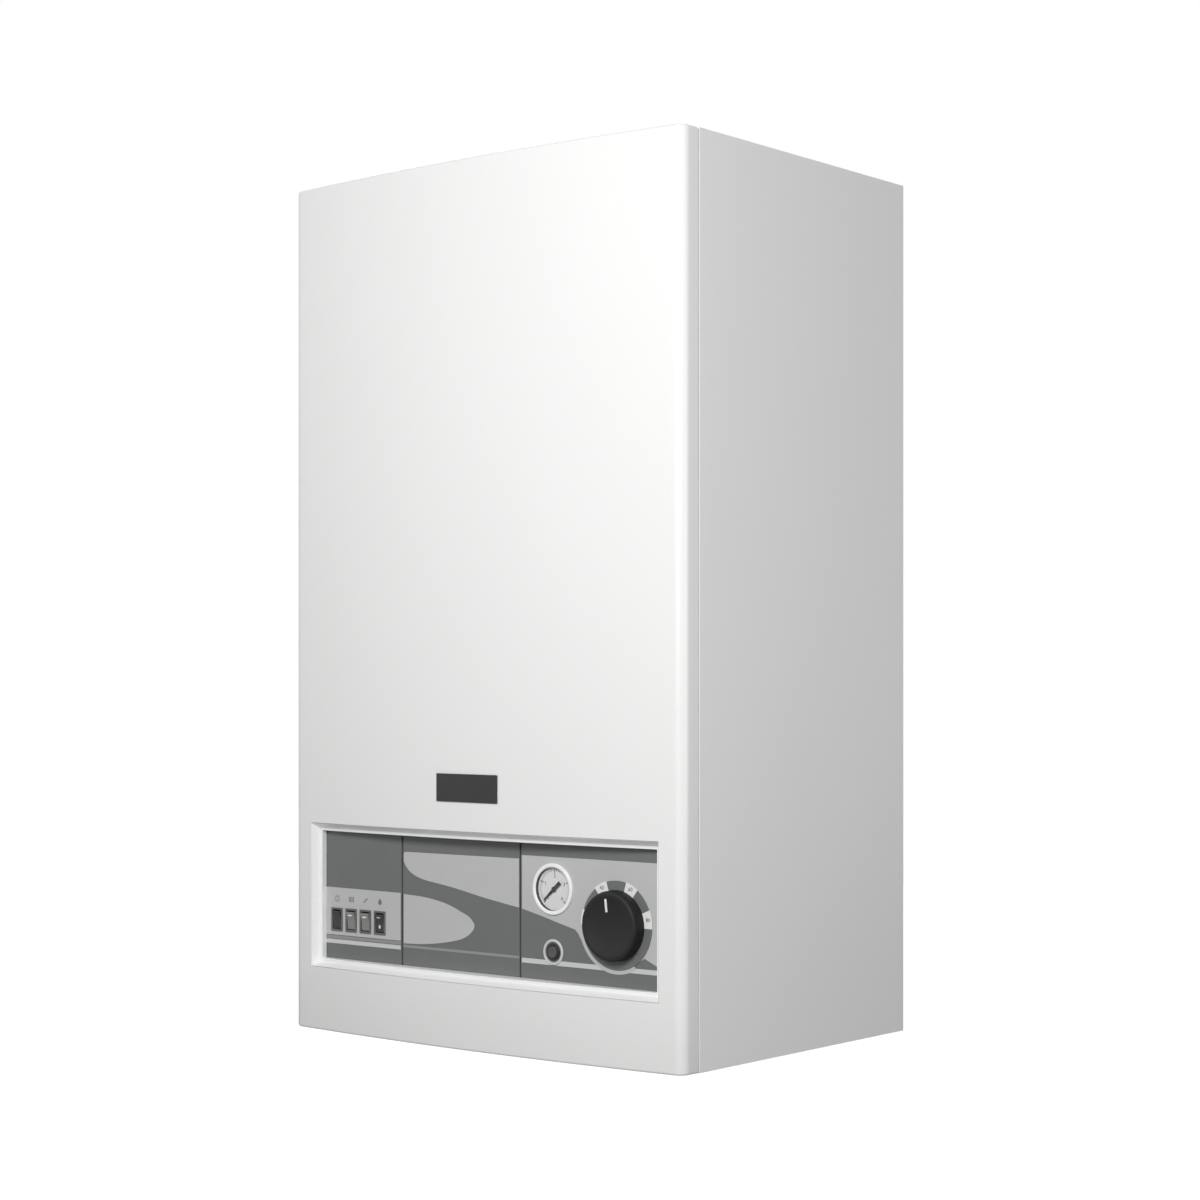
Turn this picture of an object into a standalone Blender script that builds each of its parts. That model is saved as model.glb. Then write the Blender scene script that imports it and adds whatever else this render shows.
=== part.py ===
"""Wall-hung electric boiler: casing with a bowed front cover, control panel behind a window,
and the water and electrical parts it holds. Metres, +Z up, the front looks along -Y.

Heights are measured from the foot of the casing while the pieces are drawn. At the end every
piece is moved down so that the origin is the middle of the wall bracket's rear face.
"""
import math

import bmesh
import bpy
from mathutils import Matrix, Vector

# Fits
fit_gap = 0.0003
overshoot = 0.0040

# Casing
casing_height = 0.700
casing_width = 0.410
casing_depth = 0.312
sheet = 0.0012
edge_radius = 0.0088
front_bow = 0.0095
rim_round = 0.0020
cover_return = 0.0135
seam_gap = 0.0015
fold_radius = 0.0016
side_flange = 0.0110
tray_flange = 0.0100
bottom_recess = 0.0300

# Studs that carry the front cover
stud_radius = 0.0025
stud_inset = 0.0065
stud_reach = 0.0150
stud_above_window = 0.0200
stud_below_top = 0.0420

# Back plate and wall bracket
back_plate_setback = 0.0125
bracket_below_top = 0.0450
bracket_width = 0.260
bracket_height = 0.0440
bracket_thickness = 0.0020
bracket_hole_radius = 0.0040
bracket_hole_spacing = 0.1200
hook_spacing = 0.1800
hook_width = 0.0240
hook_thickness = 0.0020
hook_reach = 0.0180
hook_lift = 0.0100
hook_drop = 0.0070

# Window in the front cover and its bezel
window_side_margin = 0.0217
window_base = 0.0525
window_height = 0.1189
bezel_slope_width = 0.0010
bezel_slope_depth = 0.0028
bezel_ring_width = 0.0053
bezel_wall = 0.0015
bezel_flange = 0.0050
bezel_flange_thickness = 0.0015

# Plate on the front
badge_width = 0.0640
badge_height = 0.0220
badge_thickness = 0.0012
badge_above_window = 0.0236

# Control panel
panel_recess = 0.0205
module_thickness = 0.0020
module_margin = 0.0020
module_seam = 0.0024
switch_seam_clearance = 0.01755
gauge_seam_clearance = 0.0125
carrier_thickness = 0.0020
carrier_wing = 0.0080

# Rocker switches
switch_count = 4
switch_pitch = 0.0165
switch_width = 0.0130
switch_height = 0.0195
switch_lip = 0.0008
switch_lip_width = 0.0008
switch_body_depth = 0.0180
switch_wall = 0.0009
switch_pocket_depth = 0.0080
switch_row_height = 0.0388
switch_row_inset = 0.0435
rocker_clearance = 0.0004
rocker_end_rise = 0.0016
rocker_middle_rise = 0.0008
rocker_root = 0.0040
rocker_root_share = 0.5
rocker_tilt = 10.0

# Pressure gauge
gauge_knob_clearance = 0.0090
gauge_below_top = 0.0419
gauge_bezel_radius = 0.0200
gauge_bezel_lip = 0.0032
gauge_bezel_rise = 0.0021
gauge_glass = 0.0008
gauge_wall = 0.0013
gauge_depth = 0.0220
gauge_dial_depth = 0.0019
gauge_dial_thickness = 0.0006
gauge_stem_radius = 0.0050
gauge_stem_length = 0.0100
pointer_thickness = 0.0006
pointer_hub_radius = 0.0020
pointer_spindle_radius = 0.0007
pointer_tip = 0.0135
pointer_tail = 0.0080
pointer_width = 0.0024
pointer_angle = 221.0

# Thermostat knob and scale
knob_inset = 0.0488
knob_above_base = 0.0530
knob_radius = 0.0270
knob_rise = 0.0112
knob_edge = 0.0016
knob_draft = 0.0010
knob_shaft_radius = 0.0030
knob_shaft_reach = 0.0140
scale_ring_radius = 0.0340
scale_ring_thickness = 0.0006
thermostat_size = 0.0340
thermostat_depth = 0.0280

# Safety limiter and its reset button
limiter_inset = 0.0330
limiter_above_base = 0.0285
limiter_width = 0.0280
limiter_depth = 0.0240
limiter_neck_radius = 0.0065
limiter_neck_rise = 0.0014
limiter_bore_depth = 0.0100
collar_radius = 0.0100
collar_thickness = 0.0012
button_radius = 0.0045
button_rise = 0.0026
button_length = 0.0080

# Heat exchanger
exchanger_radius = 0.0550
exchanger_wall = 0.0025
exchanger_dome = 0.0110
exchanger_shoulder = 0.0050
exchanger_side_clearance = 0.0218
exchanger_rear_clearance = 0.0275
exchanger_above_window = 0.0686
exchanger_below_top = 0.1000
insulation_thickness = 0.0120
insulation_end_clearance = 0.0450

# Immersion heater
heater_head_radius = 0.0330
heater_head_height = 0.0160
heater_head_sides = 36
heater_boss_radius = 0.0250
heater_boss_height = 0.0120
heater_tube_radius = 0.0042
heater_leg_circle = 0.0155
heater_leg_spread = 26.0
heater_leg_share = 0.82
heater_hairpins = 3

# Exchanger bracket
exchanger_bracket_width = 0.0320
exchanger_bracket_thickness = 0.0030
exchanger_bracket_flange = 0.0200
exchanger_bracket_below_top = 0.0260

# Air vent
vent_neck_radius = 0.0080
vent_neck_height = 0.0080
vent_radius = 0.0170
vent_height = 0.0380
vent_spigot_radius = 0.0030
vent_spigot_height = 0.0080
vent_cap_radius = 0.0065
vent_cap_height = 0.0070
vent_cap_wall = 0.0016
vent_cap_sides = 6

# Expansion vessel
vessel_bracket_clearance = 0.0027
vessel_depth = 0.0700
vessel_wall = 0.0015
vessel_flat_share = 0.42
vessel_rim = 0.0060
vessel_skirt = 0.0015
vessel_membrane = 0.0008
vessel_bulge = 0.0100
vessel_side_clearance = 0.0188
vessel_top_clearance = 0.0488
hose_radius = 0.0050

# Pump
pipe_clearance = 0.0020
pump_above_base = 0.1900
pump_side_clearance = 0.0418
pump_flange_radius = 0.0470
pump_volute_radius = 0.0440
pump_volute_front = 0.0150
pump_volute_rear = 0.0190
pump_chamber_radius = 0.0340
pump_chamber_floor = 0.0090
pump_port_radius = 0.0130
pump_port_bore = 0.0085
pump_port_span = 0.1300
pump_flange_thickness = 0.0080
pump_motor_radius = 0.0400
pump_motor_length = 0.0750
pump_can_radius = 0.0220
pump_can_depth = 0.0560
pump_bearing_depth = 0.0080
impeller_radius = 0.0300
impeller_thickness = 0.0090
impeller_clearance = 0.0030
rotor_radius = 0.0200
rotor_length = 0.0440
rotor_shaft_radius = 0.0050
rotor_shaft_nose = 0.0150

# Pipes
pipe_radius = 0.0110
pipe_wall = 0.0015
pipe_bend = 0.0200
pipe_end = 0.0030
pipe_entry = 0.0020
return_run_height = 0.0500
flow_offset = 0.0350
flow_outlet_below_top = 0.0250

# Safety valve
safety_below_heater = 0.0077
safety_offset = 0.0470
safety_barrel_radius = 0.0140
safety_barrel_height = 0.0320
safety_inlet_radius = 0.0080
safety_outlet_radius = 0.0075
safety_bonnet_radius = 0.0100
safety_bonnet_reach = 0.0220
safety_cap_radius = 0.0140
safety_cap_height = 0.0170
safety_cap_flute = 0.0012
safety_cap_flutes = 12

# Drain cock
drain_above_base = 0.0700
drain_radius = 0.0080
drain_body_length = 0.0300
drain_nozzle_radius = 0.0055
drain_nozzle_length = 0.0120
drain_spindle_radius = 0.0028
drain_spindle_height = 0.0060
drain_lever_length = 0.0400
drain_lever_width = 0.0090
drain_lever_thickness = 0.0030

# Electrical plate and what it carries
plate_stand_off = 0.0320
plate_left = 0.0050
plate_above_pump = 0.0230
plate_below_top = 0.0450
plate_fold = 0.0320
contactor_width = 0.0450
contactor_height = 0.0780
contactor_depth = 0.0620
contactor_inset = 0.0220
contactor_bore = 0.0140
contactor_bore_depth = 0.0200
armature_clearance = 0.0004
armature_length = 0.0160
armature_rise = 0.0024
terminal_width = 0.0950
terminal_height = 0.0260
terminal_depth = 0.0300
terminal_lip = 0.0100
board_width = 0.1500
board_height = 0.1000
board_thickness = 0.0016
board_stand_off = 0.0080
board_post = 0.0060
board_post_inset = 0.0080
relay_width = 0.0160
relay_height = 0.0280
relay_depth = 0.0160
relay_count = 4
relay_pitch = 0.0230
transformer_width = 0.0360
transformer_height = 0.0320
transformer_depth = 0.0280
component_inset = 0.0120

# Cable gland
gland_radius = 0.0120
gland_height = 0.0200
gland_neck_radius = 0.0095
gland_neck_height = 0.0090
gland_bore = 0.0060
gland_inset = 0.0500
gland_rear_inset = 0.0900

# How finely curved surfaces are divided
bow_steps = 16
corner_steps = 5
fold_steps = 3
round_steps = 24
wide_round_steps = 32
pipe_steps = 12
thin_pipe_steps = 8
bend_steps = 3

# Derived sizes
half_width = casing_width / 2
corner_y = -(casing_depth - edge_radius - front_bow)
seam_y = corner_y + cover_return
frame_front_y = seam_y + seam_gap
inner_half_width = half_width - sheet
bow_turn = math.atan(2 * front_bow / (half_width - edge_radius))
window_half_width = half_width - window_side_margin
window_top = window_base + window_height
opening_inset = bezel_slope_width + bezel_ring_width
opening_half_width = window_half_width - opening_inset
opening_base = window_base + opening_inset
opening_top = window_top - opening_inset
panel_y = -(casing_depth - panel_recess)
carrier_y = panel_y + module_thickness + fit_gap
carrier_rear_y = carrier_y + carrier_thickness
back_plate_y = -(back_plate_setback + sheet)
bracket_z = casing_height - bracket_below_top
bottom_z = bottom_recess + sheet
insulation_radius = exchanger_radius + fit_gap + insulation_thickness
vessel_rear_y = back_plate_y - fit_gap
vessel_front_y = vessel_rear_y - vessel_depth
exchanger_x = -inner_half_width + exchanger_side_clearance + insulation_radius
bracket_right = exchanger_x - exchanger_bracket_thickness
vessel_left = bracket_right + vessel_bracket_clearance
vessel_right = inner_half_width - vessel_side_clearance
vessel_radius = (vessel_right - vessel_left) / 2
vessel_x = vessel_right - vessel_radius
vessel_z = casing_height - sheet - vessel_top_clearance - vessel_radius
exchanger_y = vessel_front_y - exchanger_rear_clearance - insulation_radius
exchanger_base = window_top + exchanger_above_window
exchanger_top = casing_height - exchanger_below_top
pipe_y = vessel_front_y - pump_port_radius - pipe_clearance
pump_x = inner_half_width - pump_side_clearance - pump_flange_radius
pump_z = pump_above_base
return_run_z = exchanger_base + return_run_height
flow_x = exchanger_x + exchanger_radius + flow_offset
flow_outlet_z = exchanger_top - flow_outlet_below_top
safety_x = flow_x - safety_offset
heater_foot = exchanger_base - fit_gap - heater_head_height
safety_z = heater_foot - safety_below_heater - safety_barrel_height / 2
plate_y = vessel_front_y - plate_stand_off
plate_base = pump_z + pump_flange_radius + plate_above_pump
plate_top = casing_height - plate_below_top
switch_z = window_base + switch_row_height
switch_row_x = -window_half_width + switch_row_inset
switch_row_half = (switch_count - 1) / 2 * switch_pitch + switch_width / 2
left_seam_x = switch_row_x + switch_row_half + switch_seam_clearance + module_seam / 2
knob_x = window_half_width - knob_inset
gauge_x = knob_x - scale_ring_radius - gauge_knob_clearance - gauge_bezel_radius
gauge_z = window_top - gauge_below_top
right_seam_x = gauge_x - gauge_bezel_radius - gauge_seam_clearance - module_seam / 2
knob_z = window_base + knob_above_base
limiter_x = right_seam_x + module_seam / 2 + limiter_inset
limiter_z = window_base + limiter_above_base
gland_x = -inner_half_width + gland_inset
gland_y = -gland_rear_inset


def make_material(name, colour, metallic, roughness):
    """A plain surface of one colour."""
    material = bpy.data.materials.new(name)
    material.use_nodes = True
    shader = material.node_tree.nodes["Principled BSDF"]
    shader.inputs["Base Color"].default_value = (*colour, 1.0)
    shader.inputs["Metallic"].default_value = metallic
    shader.inputs["Roughness"].default_value = roughness
    material.diffuse_color = (*colour, 1.0)
    return material


def finish_mesh(mesh, smooth_angle):
    """Turns every face outward and marks the sharp edges of a closed mesh."""
    work = bmesh.new()
    work.from_mesh(mesh)
    bmesh.ops.recalc_face_normals(work, faces=work.faces)
    if work.calc_volume(signed=True) < 0:
        bmesh.ops.reverse_faces(work, faces=work.faces)
    for face in work.faces:
        face.smooth = True
    for edge in work.edges:
        edge.smooth = len(edge.link_faces) == 2 and edge.calc_face_angle(math.pi) < smooth_angle
    work.to_mesh(mesh)
    work.free()


smooth_limit = math.radians(32)


def add_piece(name, points, faces, material):
    """One object from points and faces."""
    mesh = bpy.data.meshes.new(name)
    mesh.from_pydata([tuple(point) for point in points], [], faces)
    mesh.materials.append(material)
    finish_mesh(mesh, smooth_limit)
    piece = bpy.data.objects.new(name, mesh)
    bpy.context.scene.collection.objects.link(piece)
    return piece


def along(axis, u, v, height):
    """A point of an outline drawn across the given axis."""
    if axis == "X":
        return Vector((height, u, v))
    if axis == "Y":
        return Vector((u, height, v))
    return Vector((u, v, height))


def loft(name, loops, material, closed=False):
    """Joins loops of points in order; the two ends are capped unless the row is closed."""
    size = len(loops[0])
    points = [point for loop in loops for point in loop]
    faces = []
    spans = len(loops) if closed else len(loops) - 1
    for row in range(spans):
        here = row * size
        there = ((row + 1) % len(loops)) * size
        for step in range(size):
            nxt = (step + 1) % size
            faces.append((here + step, here + nxt, there + nxt, there + step))
    if not closed:
        faces.append(tuple(range(size)))
        faces.append(tuple(range(len(points) - size, len(points))))
    return add_piece(name, points, faces, material)


def extrude(name, outline, axis, start, end, material):
    """A straight prism of an outline."""
    loops = [[along(axis, u, v, height) for u, v in outline] for height in (start, end)]
    return loft(name, loops, material)


def box(name, across, deep, high, material):
    """A block between pairs of x, y and z."""
    outline = [(across[0], deep[0]), (across[1], deep[0]), (across[1], deep[1]), (across[0], deep[1])]
    return extrude(name, outline, "Z", high[0], high[1], material)


def lathe(name, profile, centre, axis, steps, material):
    """Turns an outline of (radius, height) points about an axis through centre."""
    points, rows, faces = [], [], []
    for radius, height in profile:
        if radius <= 0:
            points.append(centre + along(axis, 0, 0, height))
            rows.append([len(points) - 1] * steps)
            continue
        row = []
        for step in range(steps):
            angle = 2 * math.pi * step / steps
            points.append(centre + along(axis, radius * math.cos(angle), radius * math.sin(angle), height))
            row.append(len(points) - 1)
        rows.append(row)
    for index, row in enumerate(rows):
        other = rows[(index + 1) % len(rows)]
        for step in range(steps):
            nxt = (step + 1) % steps
            corners = []
            for corner in (row[step], row[nxt], other[nxt], other[step]):
                if corner not in corners:
                    corners.append(corner)
            if len(corners) > 2:
                faces.append(tuple(corners))
    return add_piece(name, points, faces, material)


def rounded_path(corners, bend, steps):
    """A path through corners whose turns are rounded to the bend radius."""
    path = [corners[0]]
    for before, corner, after in zip(corners, corners[1:], corners[2:]):
        into = (corner - before).normalized()
        out = (after - corner).normalized()
        turn = into.angle(out)
        reach = min(bend * math.tan(turn / 2), (corner - before).length / 2, (after - corner).length / 2)
        start, end = corner - into * reach, corner + out * reach
        for step in range(steps + 1):
            share = step / steps
            path.append(start * (1 - share) ** 2 + corner * 2 * share * (1 - share) + end * share ** 2)
    path.append(corners[-1])
    return path


def pipe(name, corners, radius, wall, bend, steps, material):
    """A tube along a path; a wall of 0 leaves it solid."""
    path = rounded_path(corners, bend, bend_steps)
    tangents = []
    for index, point in enumerate(path):
        before = path[max(index - 1, 0)]
        after = path[min(index + 1, len(path) - 1)]
        tangents.append((after - before).normalized())
    tangents[0] = (path[1] - path[0]).normalized()
    tangents[-1] = (path[-1] - path[-2]).normalized()
    side = tangents[0].orthogonal().normalized()
    outer, inner = [], []
    for index, point in enumerate(path):
        side = (side - tangents[index] * side.dot(tangents[index])).normalized()
        other = tangents[index].cross(side)
        circle = []
        for step in range(steps):
            angle = 2 * math.pi * step / steps
            circle.append(side * math.cos(angle) + other * math.sin(angle))
        outer.append([point + spoke * radius for spoke in circle])
        inner.append([point + spoke * (radius - wall) for spoke in circle])
    if wall <= 0:
        return loft(name, outer, material)
    return loft(name, outer + inner[::-1], material, closed=True)


def bake(piece, tool, operation):
    """Applies a Boolean with another piece and takes the tool away."""
    modifier = piece.modifiers.new("shape", "BOOLEAN")
    modifier.operation = operation
    modifier.solver = "EXACT"
    modifier.object = tool
    graph = bpy.context.evaluated_depsgraph_get()
    mesh = bpy.data.meshes.new_from_object(piece.evaluated_get(graph))
    piece.modifiers.clear()
    old = piece.data
    piece.data = mesh
    mesh.name = piece.name
    bpy.data.meshes.remove(old)
    bpy.data.objects.remove(tool, do_unlink=True)
    while len(mesh.materials) > 1:
        mesh.materials.pop()
    for polygon in mesh.polygons:
        polygon.material_index = 0
    finish_mesh(mesh, smooth_limit)
    return piece


def cut(piece, *tools):
    """Takes the tools' shapes out of a piece."""
    for tool in tools:
        bake(piece, tool, "DIFFERENCE")
    return piece


def fuse(piece, *tools):
    """Adds the tools' shapes to a piece."""
    for tool in tools:
        bake(piece, tool, "UNION")
    return piece


def set_origin(piece, point):
    """Puts a moving piece's origin on its joint axis."""
    piece.data.transform(Matrix.Translation(-point))
    piece.location = point
    return piece


def rod(radius, centre, axis, start, end, material, steps=round_steps):
    """A plain round bar, used as a tool or as part of a piece."""
    profile = [(0, start), (radius, start), (radius, end), (0, end)]
    return lathe("rod", profile, centre, axis, steps, material)


def clear_bore(radius, steps):
    """The radius of a many-sided hole whose flats clear a round piece by the fit gap."""
    return (radius + fit_gap) / math.cos(math.pi / steps)


def sheet_outline(path, thickness):
    """The closed outline of a folded sheet whose outer side follows a path."""
    inner = []
    for index, point in enumerate(path):
        normals = []
        if index > 0:
            normals.append((path[index] - path[index - 1]).normalized())
        if index < len(path) - 1:
            normals.append((path[index + 1] - path[index]).normalized())
        sides = [Vector((-direction.y, direction.x)) for direction in normals]
        middle = sum(sides, Vector((0, 0))).normalized()
        inner.append(point + middle * thickness / middle.dot(sides[0]))
    return [tuple(point) for point in list(path) + inner[::-1]]


def folded_path(corners, radius):
    """A flat path with rounded folds."""
    raised = [Vector((x, y, 0)) for x, y in corners]
    return [Vector((point.x, point.y)) for point in rounded_path(raised, radius, fold_steps)]


def front_y(x):
    """Where the front cover's outer face lies at a distance from the middle."""
    reach = half_width - edge_radius * (1 - math.cos(math.pi / 2 - bow_turn))
    rise = edge_radius * math.sin(math.pi / 2 - bow_turn)
    return corner_y - rise - (front_bow + edge_radius - rise) * (1 - (x / reach) ** 2)


def cover_outline(inset, rear_y):
    """The cover seen from above, drawn in from its outer face by the inset."""
    sweep = math.pi / 2 - bow_turn
    radius = edge_radius - inset
    left = [(-half_width + inset, rear_y)]
    for step in range(corner_steps + 1):
        angle = sweep * step / corner_steps
        x = -half_width + edge_radius - radius * math.cos(angle)
        left.append((x, corner_y - radius * math.sin(angle)))
    start = half_width - edge_radius + (edge_radius - inset) * math.cos(sweep)
    bow = []
    for step in range(1, bow_steps):
        x = -start + 2 * start * step / bow_steps
        bow.append((x, front_y(x) + inset))
    right = [(-x, y) for x, y in reversed(left)]
    return left + bow + right


def build_front_cover(paint):
    """The bowed cover: a skin with returns and end flanges, a window and four welded studs."""
    loops = []
    for step in range(fold_steps + 1):
        angle = math.pi / 2 * step / fold_steps
        inset = rim_round * (1 - math.sin(angle))
        height = rim_round * (1 - math.cos(angle))
        loops.append([Vector((x, y, height)) for x, y in cover_outline(inset, seam_y)])
    upper = []
    for loop in reversed(loops):
        upper.append([Vector((point.x, point.y, casing_height - point.z)) for point in loop])
    cover = loft("front_cover", loops + upper, paint)
    inside = cover_outline(sheet, seam_y + overshoot)
    hollow = extrude("hollow", inside, "Z", sheet, casing_height - sheet, paint)
    cut(cover, hollow)
    skin_rear = max(front_y(window_half_width + fit_gap), front_y(0)) + sheet + overshoot
    opening = box(
        "opening",
        (-window_half_width - fit_gap, window_half_width + fit_gap),
        (-casing_depth - overshoot, skin_rear),
        (window_base - fit_gap, window_top + fit_gap),
        paint,
    )
    cut(cover, opening)
    stud_x = half_width - stud_inset
    outer_fibre = edge_radius - stud_inset + stud_radius
    stud_root = corner_y - math.sqrt((edge_radius - sheet / 4) ** 2 - outer_fibre ** 2)
    stud_end = frame_front_y + stud_reach
    for x in (-stud_x, stud_x):
        for z in (window_top + stud_above_window, casing_height - stud_below_top):
            centre = Vector((x, 0, z))
            fuse(cover, rod(stud_radius, centre, "Y", stud_root, stud_end, paint, pipe_steps))
    return set_origin(cover, Vector((0, seam_y, casing_height / 2)))


def build_window_bezel(plastic):
    """The white frame in the window: sloping edge, flat ring and a wall back to the panel."""
    wall_rear = panel_y - fit_gap
    behind = sheet + fit_gap
    profile = (
        (0, 0, True),
        (bezel_slope_width, bezel_slope_depth, True),
        (opening_inset, bezel_slope_depth, True),
        (opening_inset, wall_rear, False),
        (opening_inset - bezel_wall, wall_rear, False),
        (opening_inset - bezel_wall, behind + bezel_flange_thickness, True),
        (-bezel_flange, behind + bezel_flange_thickness, True),
        (-bezel_flange, behind, True),
        (0, behind, True),
    )
    stations = []
    for step in range(bow_steps + 1):
        stations.append((-1 + 2 * step / bow_steps, -1))
    for step in range(bow_steps + 1):
        stations.append((1 - 2 * step / bow_steps, 1))
    loops = []
    for share, end in stations:
        loop = []
        for inset, depth, follows in profile:
            x = share * (window_half_width - inset)
            z = window_base + inset if end < 0 else window_top - inset
            y = front_y(x) + depth if follows else depth
            loop.append(Vector((x, y, z)))
        loops.append(loop)
    return loft("window_bezel", loops, plastic, closed=True)


def build_badge(plastic):
    """A bare plate that follows the bow of the front."""
    low = window_top + badge_above_window
    front, rear = [], []
    for step in range(fold_steps * 2 + 1):
        x = badge_width * (step / (fold_steps * 2) - 1 / 2)
        rear.append((x, front_y(x) - fit_gap))
        front.append((x, front_y(x) - fit_gap - badge_thickness))
    return extrude("badge_plate", front + rear[::-1], "Z", low, low + badge_height, plastic)


def build_side_panel(name, side, paint):
    """A side sheet with folded edges and holes for the cover's studs."""
    corners = [
        (half_width - side_flange, frame_front_y),
        (half_width, frame_front_y),
        (half_width, 0),
        (half_width - side_flange, 0),
    ]
    outline = sheet_outline(folded_path(corners, fold_radius), sheet)
    outline = [(side * x, y) for x, y in outline]
    panel = extrude(name, outline, "Z", 0, casing_height, paint)
    bore = clear_bore(stud_radius, pipe_steps)
    through = (frame_front_y - overshoot, frame_front_y + sheet + overshoot / 2)
    for z in (window_top + stud_above_window, casing_height - stud_below_top):
        centre = Vector((side * (half_width - stud_inset), 0, z))
        cut(panel, rod(bore, centre, "Y", through[0], through[1], paint, pipe_steps))
    return panel


def open_tray(name, across, deep, floor_z, rim_z, wall, material):
    """A shallow tray; its floor lies at floor_z and its rim at rim_z."""
    toward = 1 if rim_z > floor_z else -1
    outer = [(across[0], deep[0]), (across[1], deep[0]), (across[1], deep[1]), (across[0], deep[1])]
    inner = [
        (across[0] + wall, deep[0] + wall),
        (across[1] - wall, deep[0] + wall),
        (across[1] - wall, deep[1] - wall),
        (across[0] + wall, deep[1] - wall),
    ]
    loops = [
        [Vector((x, y, floor_z)) for x, y in outer],
        [Vector((x, y, rim_z)) for x, y in outer],
        [Vector((x, y, rim_z)) for x, y in inner],
        [Vector((x, y, floor_z + toward * wall)) for x, y in inner],
    ]
    return loft(name, loops, material)


def build_casing(paint, plain_steel):
    """Side sheets, top, bottom, back plate and wall bracket."""
    build_side_panel("left_side_panel", -1, paint)
    build_side_panel("right_side_panel", 1, paint)
    across = (-inner_half_width + fit_gap, inner_half_width - fit_gap)
    front = frame_front_y + sheet + fit_gap
    top_rim = casing_height - tray_flange
    top = open_tray("top_panel", across, (frame_front_y, 0), casing_height, top_rim, sheet, paint)
    trim_depth = sheet + fit_gap
    notch_high = (top_rim - overshoot, casing_height + overshoot)
    notch_ends = ((-trim_depth, overshoot), (frame_front_y - overshoot, frame_front_y + trim_depth))
    for side in (-1, 1):
        edge = sorted((side * (half_width - side_flange - fit_gap), side * half_width))
        for ends in notch_ends:
            cut(top, box("notch", edge, ends, notch_high, paint))
    bottom = open_tray("bottom_plate", across, (front, back_plate_y - fit_gap), bottom_recess,
                       bottom_recess + tray_flange, sheet, plain_steel)
    clear = fit_gap
    holes = (
        (pump_x, pipe_y, pipe_radius + clear),
        (flow_x, exchanger_y, pipe_radius + clear),
        (safety_x, exchanger_y, safety_outlet_radius + clear),
        (gland_x, gland_y, gland_neck_radius + clear),
    )
    low, high = bottom_recess - overshoot, bottom_z + overshoot
    for x, y, radius in holes:
        cut(bottom, rod(radius, Vector((x, y, 0)), "Z", low, high, plain_steel))
    rim_y = -(sheet + fit_gap)
    corners = [
        (-inner_half_width + fit_gap, rim_y),
        (-inner_half_width + fit_gap, back_plate_y),
        (inner_half_width - fit_gap, back_plate_y),
        (inner_half_width - fit_gap, rim_y),
    ]
    back = extrude("back_plate", sheet_outline(folded_path(corners, fold_radius), sheet), "Z",
                   pipe_end, casing_height - tray_flange - fit_gap * 4, plain_steel)
    hook_z = bracket_z + hook_drop
    for side in (-1, 1):
        middle = side * hook_spacing / 2
        slot = box("slot", (middle - hook_width / 2 - fit_gap, middle + hook_width / 2 + fit_gap),
                   (back_plate_y - overshoot, back_plate_y + sheet + overshoot),
                   (hook_z - fit_gap, hook_z + hook_thickness + hook_lift + fit_gap), plain_steel)
        cut(back, slot)
    bracket = box("wall_bracket", (-bracket_width / 2, bracket_width / 2), (-bracket_thickness, 0),
                  (bracket_z - bracket_height / 2, bracket_z + bracket_height / 2), plain_steel)
    for side in (-1, 1):
        middle = side * hook_spacing / 2
        path = [
            (-bracket_thickness / 2, hook_z),
            (-hook_reach, hook_z),
            (-hook_reach, hook_z + hook_thickness + hook_lift),
            (-hook_reach + hook_thickness, hook_z + hook_thickness + hook_lift),
            (-hook_reach + hook_thickness, hook_z + hook_thickness),
            (-bracket_thickness / 2, hook_z + hook_thickness),
        ]
        hook = extrude("hook", path, "X", middle - hook_width / 2, middle + hook_width / 2, plain_steel)
        fuse(bracket, hook)
        hole = rod(bracket_hole_radius, Vector((side * bracket_hole_spacing / 2, 0, bracket_z)), "Y",
                   -bracket_thickness - overshoot, overshoot, plain_steel, pipe_steps)
        cut(bracket, hole)


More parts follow.
